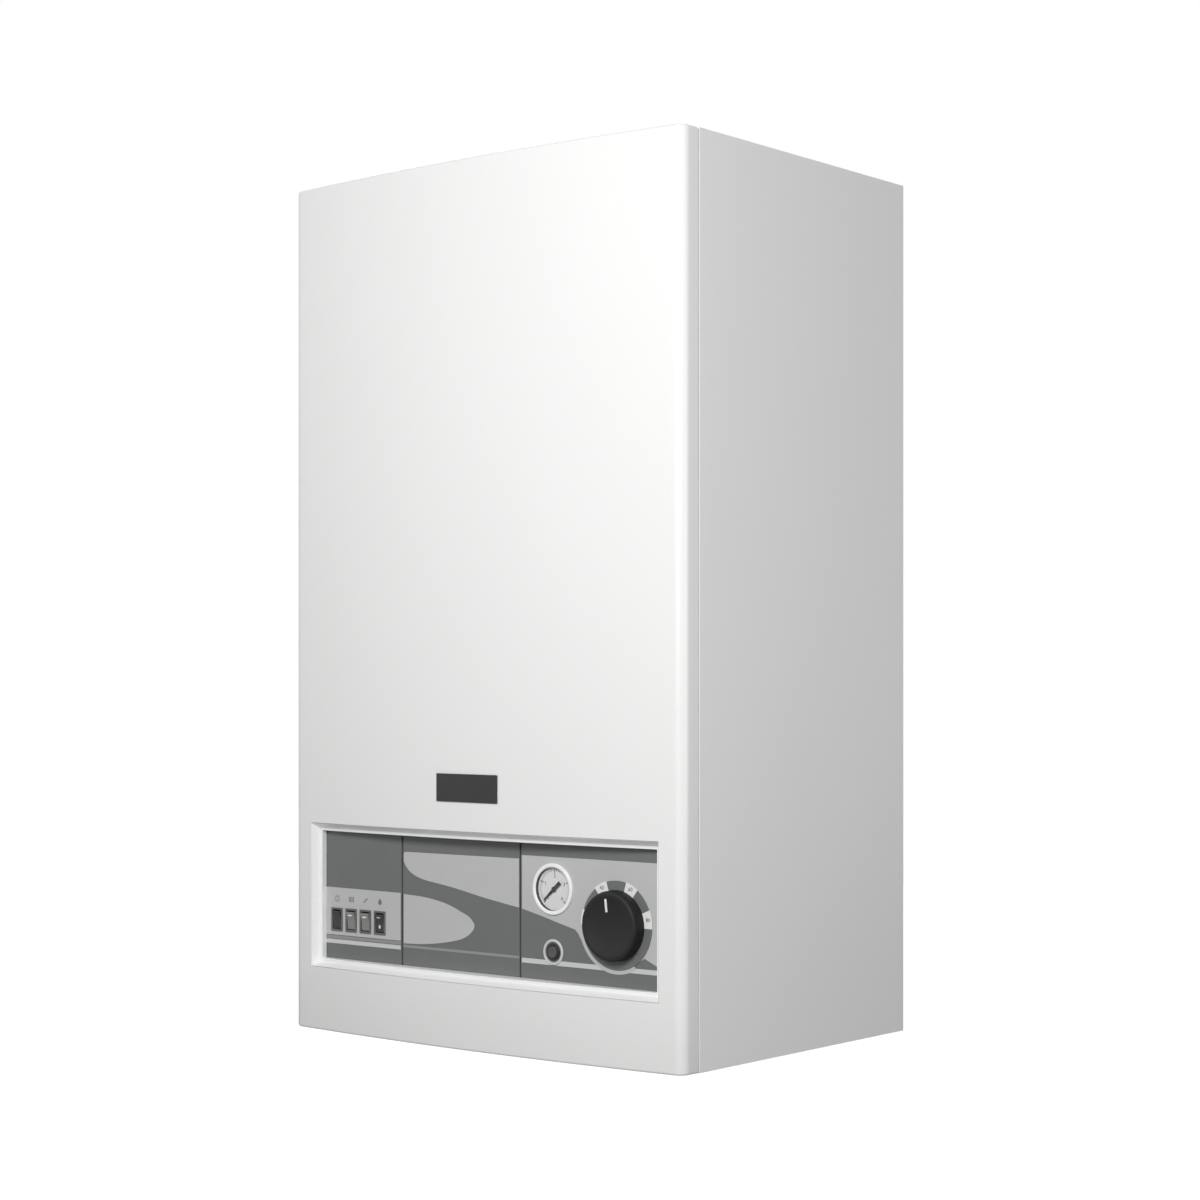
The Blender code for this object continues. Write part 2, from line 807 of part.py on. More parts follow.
def build_panel(dark_plastic, module_plastic):
    """The carrier behind the window and the three module plates on it."""
    low, high = window_base + module_margin / 2, window_top - module_margin / 2
    wing_y = frame_front_y + sheet + fit_gap
    wall_x = window_half_width - module_margin / 2
    path = [
        (-wall_x - carrier_wing - carrier_thickness, wing_y),
        (-wall_x, wing_y),
        (-wall_x, carrier_y),
        (wall_x, carrier_y),
        (wall_x, wing_y),
        (wall_x + carrier_wing + carrier_thickness, wing_y),
    ]
    wing_end = inner_half_width - fit_gap
    path[0] = (-wing_end, wing_y)
    path[-1] = (wing_end, wing_y)
    outline = sheet_outline([Vector(point) for point in path], carrier_thickness)
    carrier = extrude("panel_carrier", outline, "Z", low, high, dark_plastic)
    plate_low, plate_high = window_base + module_margin, window_top - module_margin
    edge = window_half_width - module_margin
    deep, high_span = (panel_y, panel_y + module_thickness), (plate_low, plate_high)
    half_seam = module_seam / 2
    left = box("switch_module", (-edge, left_seam_x - half_seam), deep, high_span, module_plastic)
    box("centre_flap", (left_seam_x + half_seam, right_seam_x - half_seam), deep, high_span, module_plastic)
    right = box("dial_module", (right_seam_x + half_seam, edge), deep, high_span, module_plastic)
    through = (panel_y - overshoot, carrier_rear_y + overshoot)
    hole_half_w = switch_width / 2 - switch_lip_width + fit_gap
    hole_half_h = switch_height / 2 - switch_lip_width + fit_gap
    for index in range(switch_count):
        x = switch_x(index)
        for plate in (left, carrier):
            cut(plate, box("hole", (x - hole_half_w, x + hole_half_w), through,
                           (switch_z - hole_half_h, switch_z + hole_half_h), dark_plastic))
    case_radius = gauge_bezel_radius - gauge_wall
    for x, z, radius in (
        (gauge_x, gauge_z, case_radius + fit_gap),
        (knob_x, knob_z, knob_shaft_radius + fit_gap * 2),
        (limiter_x, limiter_z, limiter_neck_radius + fit_gap),
    ):
        for plate in (right, carrier):
            cut(plate, rod(radius, Vector((x, 0, z)), "Y", through[0], through[1], dark_plastic))


def switch_x(index):
    """Middle of one rocker switch, counted from the left."""
    return switch_row_x + (index - (switch_count - 1) / 2) * switch_pitch


def build_switches(black_plastic, rocker_plastics):
    """Four snap-in switches, each with a rocker resting on its lower end."""
    lip_front = panel_y - switch_lip - fit_gap
    lip_rear = panel_y - fit_gap
    half_w, half_h = switch_width / 2, switch_height / 2
    body_w, body_h = half_w - switch_lip_width, half_h - switch_lip_width
    pocket_w, pocket_h = body_w - switch_wall, body_h - switch_wall
    axle_y = panel_y + switch_lip
    for index in range(switch_count):
        x = switch_x(index)
        body = box("switch_body_%d" % (index + 1), (x - half_w, x + half_w), (lip_front, lip_rear),
                   (switch_z - half_h, switch_z + half_h), black_plastic)
        stem_deep = (lip_front + switch_lip / 2, panel_y + switch_body_depth)
        fuse(body, box("stem", (x - body_w, x + body_w), stem_deep,
                       (switch_z - body_h, switch_z + body_h), black_plastic))
        pocket_deep = (lip_front - overshoot, panel_y + switch_pocket_depth)
        cut(body, box("pocket", (x - pocket_w, x + pocket_w), pocket_deep,
                      (switch_z - pocket_h, switch_z + pocket_h), black_plastic))
        end_h = pocket_h - rocker_clearance * 2
        tilt = math.radians(rocker_tilt)
        neutral = [
            (-rocker_end_rise - switch_lip, -end_h),
            (-rocker_middle_rise - switch_lip, 0),
            (-rocker_end_rise - switch_lip, end_h),
            (switch_lip / 2, end_h),
            (rocker_root, end_h * rocker_root_share),
            (rocker_root, -end_h * rocker_root_share),
            (switch_lip / 2, -end_h),
        ]
        turned = []
        for y, z in neutral:
            turned.append((axle_y + y * math.cos(tilt) - z * math.sin(tilt),
                           switch_z + y * math.sin(tilt) + z * math.cos(tilt)))
        wide = pocket_w - rocker_clearance
        rocker = extrude("rocker_%d" % (index + 1), turned, "X", x - wide, x + wide, rocker_plastics[index])
        set_origin(rocker, Vector((x, axle_y, switch_z)))


def build_gauge(white_plastic, dark_metal, dial_face, black_plastic, glass):
    """Pressure gauge: case, front ring, dial, turning pointer and window."""
    centre = Vector((gauge_x, panel_y, gauge_z))
    case_radius = gauge_bezel_radius - gauge_wall
    bore = case_radius - gauge_wall
    floor = gauge_dial_depth + gauge_dial_thickness + fit_gap
    spindle_floor = floor + pointer_thickness * 2
    lathe("gauge_case", [
        (pointer_spindle_radius + fit_gap, floor),
        (bore, floor),
        (bore, 0),
        (case_radius, 0),
        (case_radius, gauge_depth),
        (gauge_stem_radius, gauge_depth),
        (gauge_stem_radius, gauge_depth + gauge_stem_length),
        (0, gauge_depth + gauge_stem_length),
        (0, spindle_floor),
        (pointer_spindle_radius + fit_gap, spindle_floor),
    ], centre, "Y", round_steps, dark_metal)
    lip_radius = gauge_bezel_radius - gauge_bezel_lip
    skirt_radius = gauge_bezel_radius - gauge_wall
    lip_rear = -gauge_bezel_rise + gauge_wall / 2
    lathe("gauge_bezel", [
        (lip_radius, -gauge_bezel_rise + gauge_wall / 4),
        (lip_radius + gauge_wall / 2, -gauge_bezel_rise),
        (gauge_bezel_radius - gauge_wall / 2, -gauge_bezel_rise),
        (gauge_bezel_radius, -gauge_bezel_rise + gauge_wall / 2),
        (gauge_bezel_radius, -fit_gap),
        (skirt_radius, -fit_gap),
        (skirt_radius, lip_rear),
        (lip_radius, lip_rear),
    ], centre, "Y", round_steps, white_plastic)
    glass_front = lip_rear + fit_gap
    lathe("gauge_lens", [
        (0, glass_front),
        (skirt_radius - fit_gap, glass_front),
        (skirt_radius - fit_gap, glass_front + gauge_glass),
        (0, glass_front + gauge_glass),
    ], centre, "Y", round_steps, glass)
    lathe("gauge_dial", [
        (pointer_spindle_radius + fit_gap, gauge_dial_depth),
        (bore - fit_gap, gauge_dial_depth),
        (bore - fit_gap, gauge_dial_depth + gauge_dial_thickness),
        (pointer_spindle_radius + fit_gap, gauge_dial_depth + gauge_dial_thickness),
    ], centre, "Y", round_steps, dial_face)
    front = gauge_dial_depth - fit_gap * 2 - pointer_thickness
    pointer = lathe("gauge_pointer", [
        (0, front - pointer_thickness),
        (pointer_hub_radius, front - pointer_thickness),
        (pointer_hub_radius, front + pointer_thickness),
        (pointer_spindle_radius, front + pointer_thickness),
        (pointer_spindle_radius, floor + pointer_thickness),
        (0, floor + pointer_thickness),
    ], centre, "Y", thin_pipe_steps * 2, black_plastic)
    angle = math.radians(pointer_angle)
    ahead = (math.cos(angle), math.sin(angle))
    across = (-ahead[1], ahead[0])
    needle = []
    for reach, width in (
        (pointer_tip, pointer_width / 6),
        (0, pointer_width / 2),
        (-pointer_tail, pointer_width * 2 / 3),
        (-pointer_tail, -pointer_width * 2 / 3),
        (0, -pointer_width / 2),
        (pointer_tip, -pointer_width / 6),
    ):
        x = gauge_x + ahead[0] * reach + across[0] * width
        needle.append((x, gauge_z + ahead[1] * reach + across[1] * width))
    blade = extrude("blade", needle, "Y", panel_y + front - pointer_thickness / 2,
                    panel_y + front + pointer_thickness / 2, black_plastic)
    fuse(pointer, blade)
    set_origin(pointer, Vector((gauge_x, panel_y + gauge_dial_depth, gauge_z)))


def build_thermostat(black_plastic, scale_plastic, body_plastic, metal):
    """Knob on its shaft, the scale ring round it and the thermostat behind the panel."""
    centre = Vector((knob_x, panel_y, knob_z))
    knob = lathe("thermostat_knob", [
        (0, -knob_rise),
        (knob_radius - knob_draft - knob_edge, -knob_rise),
        (knob_radius - knob_draft - knob_edge / 3, -knob_rise + knob_edge / 3),
        (knob_radius - knob_draft, -knob_rise + knob_edge),
        (knob_radius, -scale_ring_thickness - fit_gap * 2),
        (knob_shaft_radius, -scale_ring_thickness - fit_gap * 2),
        (knob_shaft_radius, knob_shaft_reach),
        (0, knob_shaft_reach),
    ], centre, "Y", wide_round_steps, black_plastic)
    set_origin(knob, centre)
    lathe("scale_ring", [
        (knob_radius - knob_edge, -scale_ring_thickness - fit_gap / 2),
        (scale_ring_radius, -scale_ring_thickness - fit_gap / 2),
        (scale_ring_radius, -fit_gap / 2),
        (knob_radius - knob_edge, -fit_gap / 2),
    ], centre, "Y", wide_round_steps, scale_plastic)
    rear = carrier_rear_y + fit_gap
    half = thermostat_size / 2
    body = box("thermostat_body", (knob_x - half, knob_x + half), (rear, rear + thermostat_depth),
               (knob_z - half, knob_z + half), body_plastic)
    bore_end = knob_shaft_reach + fit_gap * 2
    cut(body, rod(knob_shaft_radius + fit_gap, centre, "Y", 0, bore_end, body_plastic))


def build_limiter(body_plastic, black_plastic, light_plastic, grey_plastic):
    """Over-temperature cut-out with a neck through the panel, its collar and its reset button."""
    centre = Vector((limiter_x, panel_y, limiter_z))
    half = limiter_width / 2
    rear = carrier_rear_y + fit_gap
    body = box("limiter_body", (limiter_x - half, limiter_x + half), (rear, rear + limiter_depth),
               (limiter_z - half, limiter_z + half), body_plastic)
    neck_root = rear - panel_y + sheet
    fuse(body, rod(limiter_neck_radius, centre, "Y", -limiter_neck_rise, neck_root, black_plastic))
    cut(body, rod(button_radius + fit_gap, centre, "Y", -limiter_neck_rise - overshoot, limiter_bore_depth,
                  body_plastic))
    lathe("reset_collar", [
        (limiter_neck_radius + fit_gap, -collar_thickness - fit_gap),
        (collar_radius - collar_thickness / 2, -collar_thickness - fit_gap),
        (collar_radius, -collar_thickness / 2 - fit_gap),
        (collar_radius, -fit_gap),
        (limiter_neck_radius + fit_gap, -fit_gap),
    ], centre, "Y", round_steps, light_plastic)
    button = lathe("reset_button", [
        (0, -button_rise),
        (button_radius - collar_thickness / 2, -button_rise),
        (button_radius, -button_rise + collar_thickness / 2),
        (button_radius, -button_rise + button_length),
        (0, -button_rise + button_length),
    ], centre, "Y", round_steps, grey_plastic)
    set_origin(button, centre)


def build_exchanger(steel, foam, brass, tube_metal, plain_steel, vent_brass, vent_plastic):
    """Vertical heat exchanger with its heater, insulation, bracket and air vent."""
    centre = Vector((exchanger_x, exchanger_y, 0))
    radius, wall = exchanger_radius, exchanger_wall
    base, top = exchanger_base, exchanger_top
    heater_bore = heater_boss_radius + fit_gap
    vent_bore = vent_neck_radius + fit_gap
    shoulder = radius - exchanger_shoulder
    tank = lathe("heat_exchanger", [
        (heater_bore, base),
        (shoulder, base + exchanger_dome / 4),
        (radius, base + exchanger_dome),
        (radius, top - exchanger_dome),
        (shoulder, top - exchanger_dome / 4),
        (vent_bore, top),
        (vent_bore, top - wall),
        (shoulder - wall / 2, top - exchanger_dome / 4 - wall),
        (radius - wall, top - exchanger_dome - wall / 2),
        (radius - wall, base + exchanger_dome + wall / 2),
        (shoulder - wall / 2, base + exchanger_dome / 4 + wall),
        (heater_bore, base + wall),
    ], centre, "Z", wide_round_steps, steel)
    port = clear_bore(pipe_radius, pipe_steps)
    cut(tank, rod(port, Vector((0, exchanger_y, flow_outlet_z)), "X",
                  exchanger_x + radius / 2, exchanger_x + radius + overshoot, steel, pipe_steps))
    cut(tank, rod(port, Vector((exchanger_x, 0, return_run_z)), "Y",
                  exchanger_y + radius / 2, exchanger_y + radius + overshoot, steel, pipe_steps))
    inner = radius + fit_gap
    low = return_run_z + pipe_radius + insulation_thickness
    high = top - insulation_end_clearance
    lathe("exchanger_insulation", [
        (inner, low), (insulation_radius, low), (insulation_radius, high), (inner, high),
    ], centre, "Z", wide_round_steps, foam)

    head_top = base - fit_gap
    heater = lathe("immersion_heater", [
        (0, head_top - heater_head_height),
        (heater_head_radius, head_top - heater_head_height),
        (heater_head_radius, head_top),
        (heater_boss_radius, head_top),
        (heater_boss_radius, head_top + heater_boss_height),
        (0, head_top + heater_boss_height),
    ], centre, "Z", heater_head_sides, brass)
    leg_top = base + (top - base) * heater_leg_share
    for index in range(heater_hairpins):
        middle = 2 * math.pi * index / heater_hairpins
        spread = math.radians(heater_leg_spread)
        feet = []
        for angle in (middle - spread, middle + spread):
            spoke = Vector((math.cos(angle), math.sin(angle), 0))
            feet.append(centre + spoke * heater_leg_circle)
        low_z = head_top + heater_boss_height / 2
        path = [
            feet[0] + Vector((0, 0, low_z)),
            feet[0] + Vector((0, 0, leg_top)),
            feet[1] + Vector((0, 0, leg_top)),
            feet[1] + Vector((0, 0, low_z)),
        ]
        bend = (feet[0] - feet[1]).length / 2
        fuse(heater, pipe("hairpin", path, heater_tube_radius, 0, bend, thin_pipe_steps, brass))

    arm_z = top - exchanger_bracket_below_top
    thick = exchanger_bracket_thickness
    near_y = back_plate_y - fit_gap
    profile = [
        (near_y, arm_z - exchanger_bracket_flange),
        (near_y, arm_z + thick),
        (exchanger_y, arm_z + thick),
        (exchanger_y, arm_z),
        (near_y - thick, arm_z),
        (near_y - thick, arm_z - exchanger_bracket_flange),
    ]
    arm = extrude("exchanger_bracket", profile, "X", bracket_right - exchanger_bracket_width,
                  bracket_right, plain_steel)
    cut(arm, rod(radius + fit_gap, centre, "Z", arm_z - overshoot, arm_z + thick + overshoot, plain_steel,
                 wide_round_steps))

    vent_base = top + fit_gap
    body_base = vent_base + vent_neck_height / 2
    body_top = body_base + vent_height
    lathe("air_vent", [
        (0, top - vent_neck_height / 2),
        (vent_neck_radius, top - vent_neck_height / 2),
        (vent_neck_radius, body_base),
        (vent_radius - vent_neck_radius / 4, body_base + vent_neck_radius / 4),
        (vent_radius, body_base + vent_neck_radius / 2),
        (vent_radius, body_top - vent_neck_radius / 2),
        (vent_radius - vent_neck_radius / 2, body_top),
        (vent_spigot_radius, body_top),
        (vent_spigot_radius, body_top + vent_spigot_height),
        (0, body_top + vent_spigot_height),
    ], centre, "Z", round_steps, vent_brass)
    cap_base = body_top + fit_gap
    cap_top = cap_base + vent_cap_height + vent_cap_wall + fit_gap * 4
    cap_bore = clear_bore(vent_spigot_radius, vent_cap_sides)
    cap = lathe("air_vent_cap", [
        (cap_bore, cap_base),
        (vent_cap_radius, cap_base),
        (vent_cap_radius, cap_top - vent_cap_wall / 2),
        (vent_cap_radius - vent_cap_wall / 2, cap_top),
        (0, cap_top),
        (0, cap_top - vent_cap_wall / 2),
        (cap_bore, cap_top - vent_cap_wall / 2),
    ], centre, "Z", vent_cap_sides, vent_plastic)
    set_origin(cap, centre + Vector((0, 0, cap_base)))


def build_vessel(red_paint, rubber, hose_metal):
    """Flat expansion vessel: two pressed shells with a membrane between them, and its hose."""
    centre = Vector((vessel_x, 0, vessel_z))
    rim = vessel_radius - vessel_rim
    flat = vessel_radius * vessel_flat_share
    middle = (vessel_rear_y + vessel_front_y) / 2
    half_membrane = vessel_membrane / 2 + fit_gap
    dish_shares = ((0, 1), (0.35, 0.93), (0.65, 0.74), (0.88, 0.40))
    for name, end, edge in (
        ("vessel_rear_shell", vessel_rear_y, middle + half_membrane),
        ("vessel_front_shell", vessel_front_y, middle - half_membrane),
    ):
        toward = 1 if end > edge else -1
        outer_lip = edge + toward * vessel_wall
        depth = abs(end - outer_lip)
        outer = [(0, end)]
        inner = [(0, end - toward * vessel_wall)]
        for across, out in dish_shares:
            outer.append((flat + (rim - flat) * across, outer_lip + toward * depth * out))
            inner_depth = depth - vessel_wall / 2
            inner.append((flat + (rim - vessel_wall - flat) * across, edge + toward * inner_depth * out))
        inner[1] = (flat, end - toward * vessel_wall)
        inner.append((rim - vessel_wall, edge))
        outer.append((rim, outer_lip))
        if toward < 0:
            skirt_end = middle + half_membrane + vessel_wall / 2
            outer += [(vessel_radius + vessel_skirt, outer_lip), (vessel_radius + vessel_skirt, skirt_end),
                      (vessel_radius + fit_gap, skirt_end), (vessel_radius + fit_gap, edge)]
        else:
            outer += [(vessel_radius, outer_lip), (vessel_radius, edge)]
        lathe(name, outer + inner[::-1], centre, "Y", wide_round_steps, red_paint)
    thick = vessel_membrane / 2
    lathe("vessel_membrane", [
        (0, middle + vessel_bulge + thick),
        (flat, middle + vessel_bulge + thick),
        (rim - vessel_rim, middle + thick),
        (vessel_radius - fit_gap, middle + thick),
        (vessel_radius - fit_gap, middle - thick),
        (rim - vessel_rim, middle - thick),
        (flat, middle + vessel_bulge - thick),
        (0, middle + vessel_bulge - thick),
    ], centre, "Y", wide_round_steps, rubber)
    landing = return_run_z + pipe_radius + fit_gap
    pipe("vessel_hose", [
        Vector((vessel_x, vessel_front_y - fit_gap, vessel_z)),
        Vector((vessel_x, pipe_y, vessel_z)),
        Vector((vessel_x, pipe_y, landing)),
    ], hose_radius, pipe_wall, hose_radius * 2, thin_pipe_steps, hose_metal)


def build_pump(cast_metal, motor_paint, rotor_metal):
    """In-line circulating pump: volute, motor and the turning rotor."""
    centre = Vector((pump_x, pipe_y, pump_z))
    front, rear = -pump_volute_front, pump_volute_rear
    volute = lathe("pump_volute", [
        (0, front),
        (pump_flange_radius, front),
        (pump_flange_radius, front + pump_flange_thickness),
        (pump_volute_radius, front + pump_flange_thickness),
        (pump_volute_radius, rear - pump_flange_thickness / 2),
        (pump_volute_radius - pump_flange_thickness / 2, rear), (0, rear),
    ], centre, "Y", round_steps, cast_metal)
    fuse(volute, rod(pump_port_radius, centre, "Z", -pump_port_span / 2, pump_port_span / 2, cast_metal))
    cut(volute, rod(pump_chamber_radius, centre, "Y", front - overshoot, pump_chamber_floor, cast_metal))
    bore_end = pump_port_span / 2 + overshoot
    cut(volute, rod(pump_port_bore, centre, "Z", -bore_end, bore_end, cast_metal, pipe_steps))
    motor_rear = front - fit_gap
    motor_front = motor_rear - pump_motor_length
    can_end = motor_rear - pump_can_depth
    lathe("pump_motor", [
        (pump_can_radius, motor_rear),
        (pump_flange_radius, motor_rear),
        (pump_flange_radius, motor_rear - pump_flange_thickness),
        (pump_motor_radius, motor_rear - pump_flange_thickness),
        (pump_motor_radius, motor_front + pump_flange_thickness / 2),
        (pump_motor_radius - pump_flange_thickness / 2, motor_front),
        (0, motor_front),
        (0, can_end - pump_bearing_depth),
        (rotor_shaft_radius + fit_gap, can_end - pump_bearing_depth),
        (rotor_shaft_radius + fit_gap, can_end),
        (pump_can_radius, can_end),
    ], centre, "Y", round_steps, motor_paint)
    wheel_front = front + impeller_clearance
    drum_rear = motor_rear - impeller_clearance
    rotor = lathe("pump_rotor", [
        (0, wheel_front + impeller_thickness),
        (impeller_radius, wheel_front + impeller_thickness),
        (impeller_radius, wheel_front),
        (rotor_shaft_radius, wheel_front),
        (rotor_shaft_radius, drum_rear),
        (rotor_radius, drum_rear),
        (rotor_radius, drum_rear - rotor_length),
        (rotor_shaft_radius, drum_rear - rotor_length),
        (rotor_shaft_radius, drum_rear - rotor_length - rotor_shaft_nose),
        (0, drum_rear - rotor_length - rotor_shaft_nose),
    ], centre, "Y", round_steps, rotor_metal)
    set_origin(rotor, centre)


def build_pipes(copper):
    """Return, pump-to-exchanger and flow pipes."""
    pump_low = pump_z - pump_port_span / 2 - fit_gap
    pump_high = pump_z + pump_port_span / 2 + fit_gap
    pipe("return_pipe", [Vector((pump_x, pipe_y, pipe_end)), Vector((pump_x, pipe_y, pump_low))],
         pipe_radius, pipe_wall, pipe_bend, pipe_steps, copper)
    pipe("pump_pipe", [
        Vector((pump_x, pipe_y, pump_high)),
        Vector((pump_x, pipe_y, return_run_z)),
        Vector((exchanger_x, pipe_y, return_run_z)),
        Vector((exchanger_x, exchanger_y + exchanger_radius - pipe_entry, return_run_z)),
    ], pipe_radius, pipe_wall, pipe_bend, pipe_steps, copper)
    pipe("flow_pipe", [
        Vector((exchanger_x + exchanger_radius - pipe_entry, exchanger_y, flow_outlet_z)),
        Vector((flow_x, exchanger_y, flow_outlet_z)),
        Vector((flow_x, exchanger_y, pipe_end)),
    ], pipe_radius, pipe_wall, pipe_bend, pipe_steps, copper)


def build_safety_valve(brass, cap_plastic):
    """Pressure relief valve on the flow pipe, with a turning test cap and an outlet to the foot."""
    centre = Vector((safety_x, exchanger_y, safety_z))
    half = safety_barrel_height / 2
    outlet_low = pipe_end - safety_z
    bore = safety_outlet_radius - pipe_wall
    valve = lathe("safety_valve", [
        (0, half),
        (safety_barrel_radius, half),
        (safety_barrel_radius, -half),
        (safety_outlet_radius, -half),
        (safety_outlet_radius, outlet_low),
        (bore, outlet_low),
        (bore, -half),
        (0, -half),
    ], centre, "Z", round_steps, brass)
    inlet_end = safety_offset - pipe_radius - fit_gap
    fuse(valve, rod(safety_inlet_radius, centre, "X", 0, inlet_end, brass, 18))
    fuse(valve, rod(safety_bonnet_radius, centre, "Y", -safety_bonnet_reach, 0, brass, 18))
    rear = exchanger_y - safety_bonnet_reach - fit_gap
    outline = []
    for step in range(safety_cap_flutes * 2):
        angle = math.pi * step / safety_cap_flutes
        radius = safety_cap_radius - (safety_cap_flute if step % 2 else 0)
        outline.append((safety_x + radius * math.cos(angle), safety_z + radius * math.sin(angle)))
    cap = extrude("safety_valve_cap", outline, "Y", rear - safety_cap_height, rear, cap_plastic)
    set_origin(cap, Vector((safety_x, rear, safety_z)))


def build_drain_cock(brass, lever_metal):
    """Quarter-turn drain cock on the return pipe."""
    centre = Vector((pump_x, pipe_y, drain_above_base))
    near = -pipe_radius - fit_gap
    far = near - drain_body_length
    cock = lathe("drain_cock", [
        (0, near), (drain_radius, near), (drain_radius, far), (drain_nozzle_radius, far),
        (drain_nozzle_radius, far - drain_nozzle_length), (0, far - drain_nozzle_length),
    ], centre, "Y", round_steps, brass)
    pivot = centre + Vector((0, (near + far) / 2, 0))
    spindle_top = drain_radius + drain_spindle_height
    fuse(cock, rod(drain_spindle_radius, pivot, "Z", 0, spindle_top, brass, pipe_steps))
    low = drain_above_base + drain_radius + fit_gap * 2
    half = drain_lever_width / 2
    lever = box("drain_cock_lever", (pivot.x - half, pivot.x + drain_lever_length),
                (pivot.y - half, pivot.y + half), (low, low + drain_lever_thickness), lever_metal)
    bore = clear_bore(drain_spindle_radius, pipe_steps)
    cut(lever, rod(bore, pivot, "Z", 0, spindle_top * 2, lever_metal, pipe_steps))
    set_origin(lever, Vector((pivot.x, pivot.y, low)))


def build_electrics(zinc, black_plastic, grey_plastic, terminal_plastic, board_green):
    """Folded plate with the contactor, terminal block and control board."""
    right = inner_half_width - fit_gap
    corners = [(right, plate_y - plate_fold), (right, plate_y), (plate_left, plate_y)]
    path = folded_path(corners, fold_radius)
    extrude("electrics_plate", sheet_outline(path, sheet), "Z", plate_base, plate_top, zinc)
    seat = plate_y - sheet - fit_gap
    left = plate_left + contactor_inset
    high = plate_top - component_inset
    low = high - contactor_height
    body = box("contactor", (left, left + contactor_width), (seat - contactor_depth, seat),
               (low, high), black_plastic)
    middle_x, middle_z = left + contactor_width / 2, (low + high) / 2
    half = contactor_bore / 2
    mouth = seat - contactor_depth
    bore_deep = (mouth - overshoot, mouth + contactor_bore_depth)
    cut(body, box("bore", (middle_x - half, middle_x + half), bore_deep,
                  (middle_z - half, middle_z + half), black_plastic))
    half -= armature_clearance
    armature = box("contactor_armature", (middle_x - half, middle_x + half),
                   (mouth - armature_rise, mouth - armature_rise + armature_length),
                   (middle_z - half, middle_z + half), grey_plastic)
    set_origin(armature, Vector((middle_x, mouth, middle_z)))

    block_right = right - component_inset - side_flange
    base = plate_base + component_inset
    profile = [
        (seat, base),
        (seat - terminal_depth + terminal_lip, base),
        (seat - terminal_depth + terminal_lip, base + terminal_height / 3),
        (seat - terminal_depth, base + terminal_height / 3),
        (seat - terminal_depth, base + terminal_height),
        (seat, base + terminal_height),
    ]
    extrude("terminal_block", profile, "X", block_right - terminal_width, block_right, terminal_plastic)

    board_low = base + terminal_height + component_inset
    board_left = plate_left + component_inset
    rear = seat - board_stand_off
    board = box("control_board", (board_left, board_left + board_width), (rear - board_thickness, rear),
                (board_low, board_low + board_height), board_green)
    half_post = board_post / 2
    for x in (board_left + board_post_inset, board_left + board_width - board_post_inset):
        for z in (board_low + board_post_inset, board_low + board_height - board_post_inset):
            fuse(board, box("post", (x - half_post, x + half_post), (rear - board_thickness / 2, seat),
                            (z - half_post, z + half_post), board_green))
    face = rear - board_thickness / 2
    relay_low = board_low + component_inset
    for index in range(relay_count):
        x = board_left + component_inset + index * relay_pitch
        fuse(board, box("relay", (x, x + relay_width), (face - relay_depth, face),
                        (relay_low, relay_low + relay_height), board_green))
    x = board_left + board_width - component_inset - transformer_width
    z = board_low + board_height - component_inset - transformer_height
    fuse(board, box("transformer", (x, x + transformer_width), (face - transformer_depth, face),
                    (z, z + transformer_height), board_green))


def build_gland(plastic):
    """Cable gland in the bottom plate."""
    top = bottom_recess - fit_gap
    lathe("cable_gland", [
        (gland_bore, top - gland_height),
        (gland_radius - gland_bore / 4, top - gland_height),
        (gland_radius, top - gland_height + gland_bore / 4),
        (gland_radius, top),
        (gland_neck_radius, top),
        (gland_neck_radius, bottom_z + gland_neck_height),
        (gland_bore, bottom_z + gland_neck_height),
    ], Vector((gland_x, gland_y, 0)), "Z", 24, plastic)


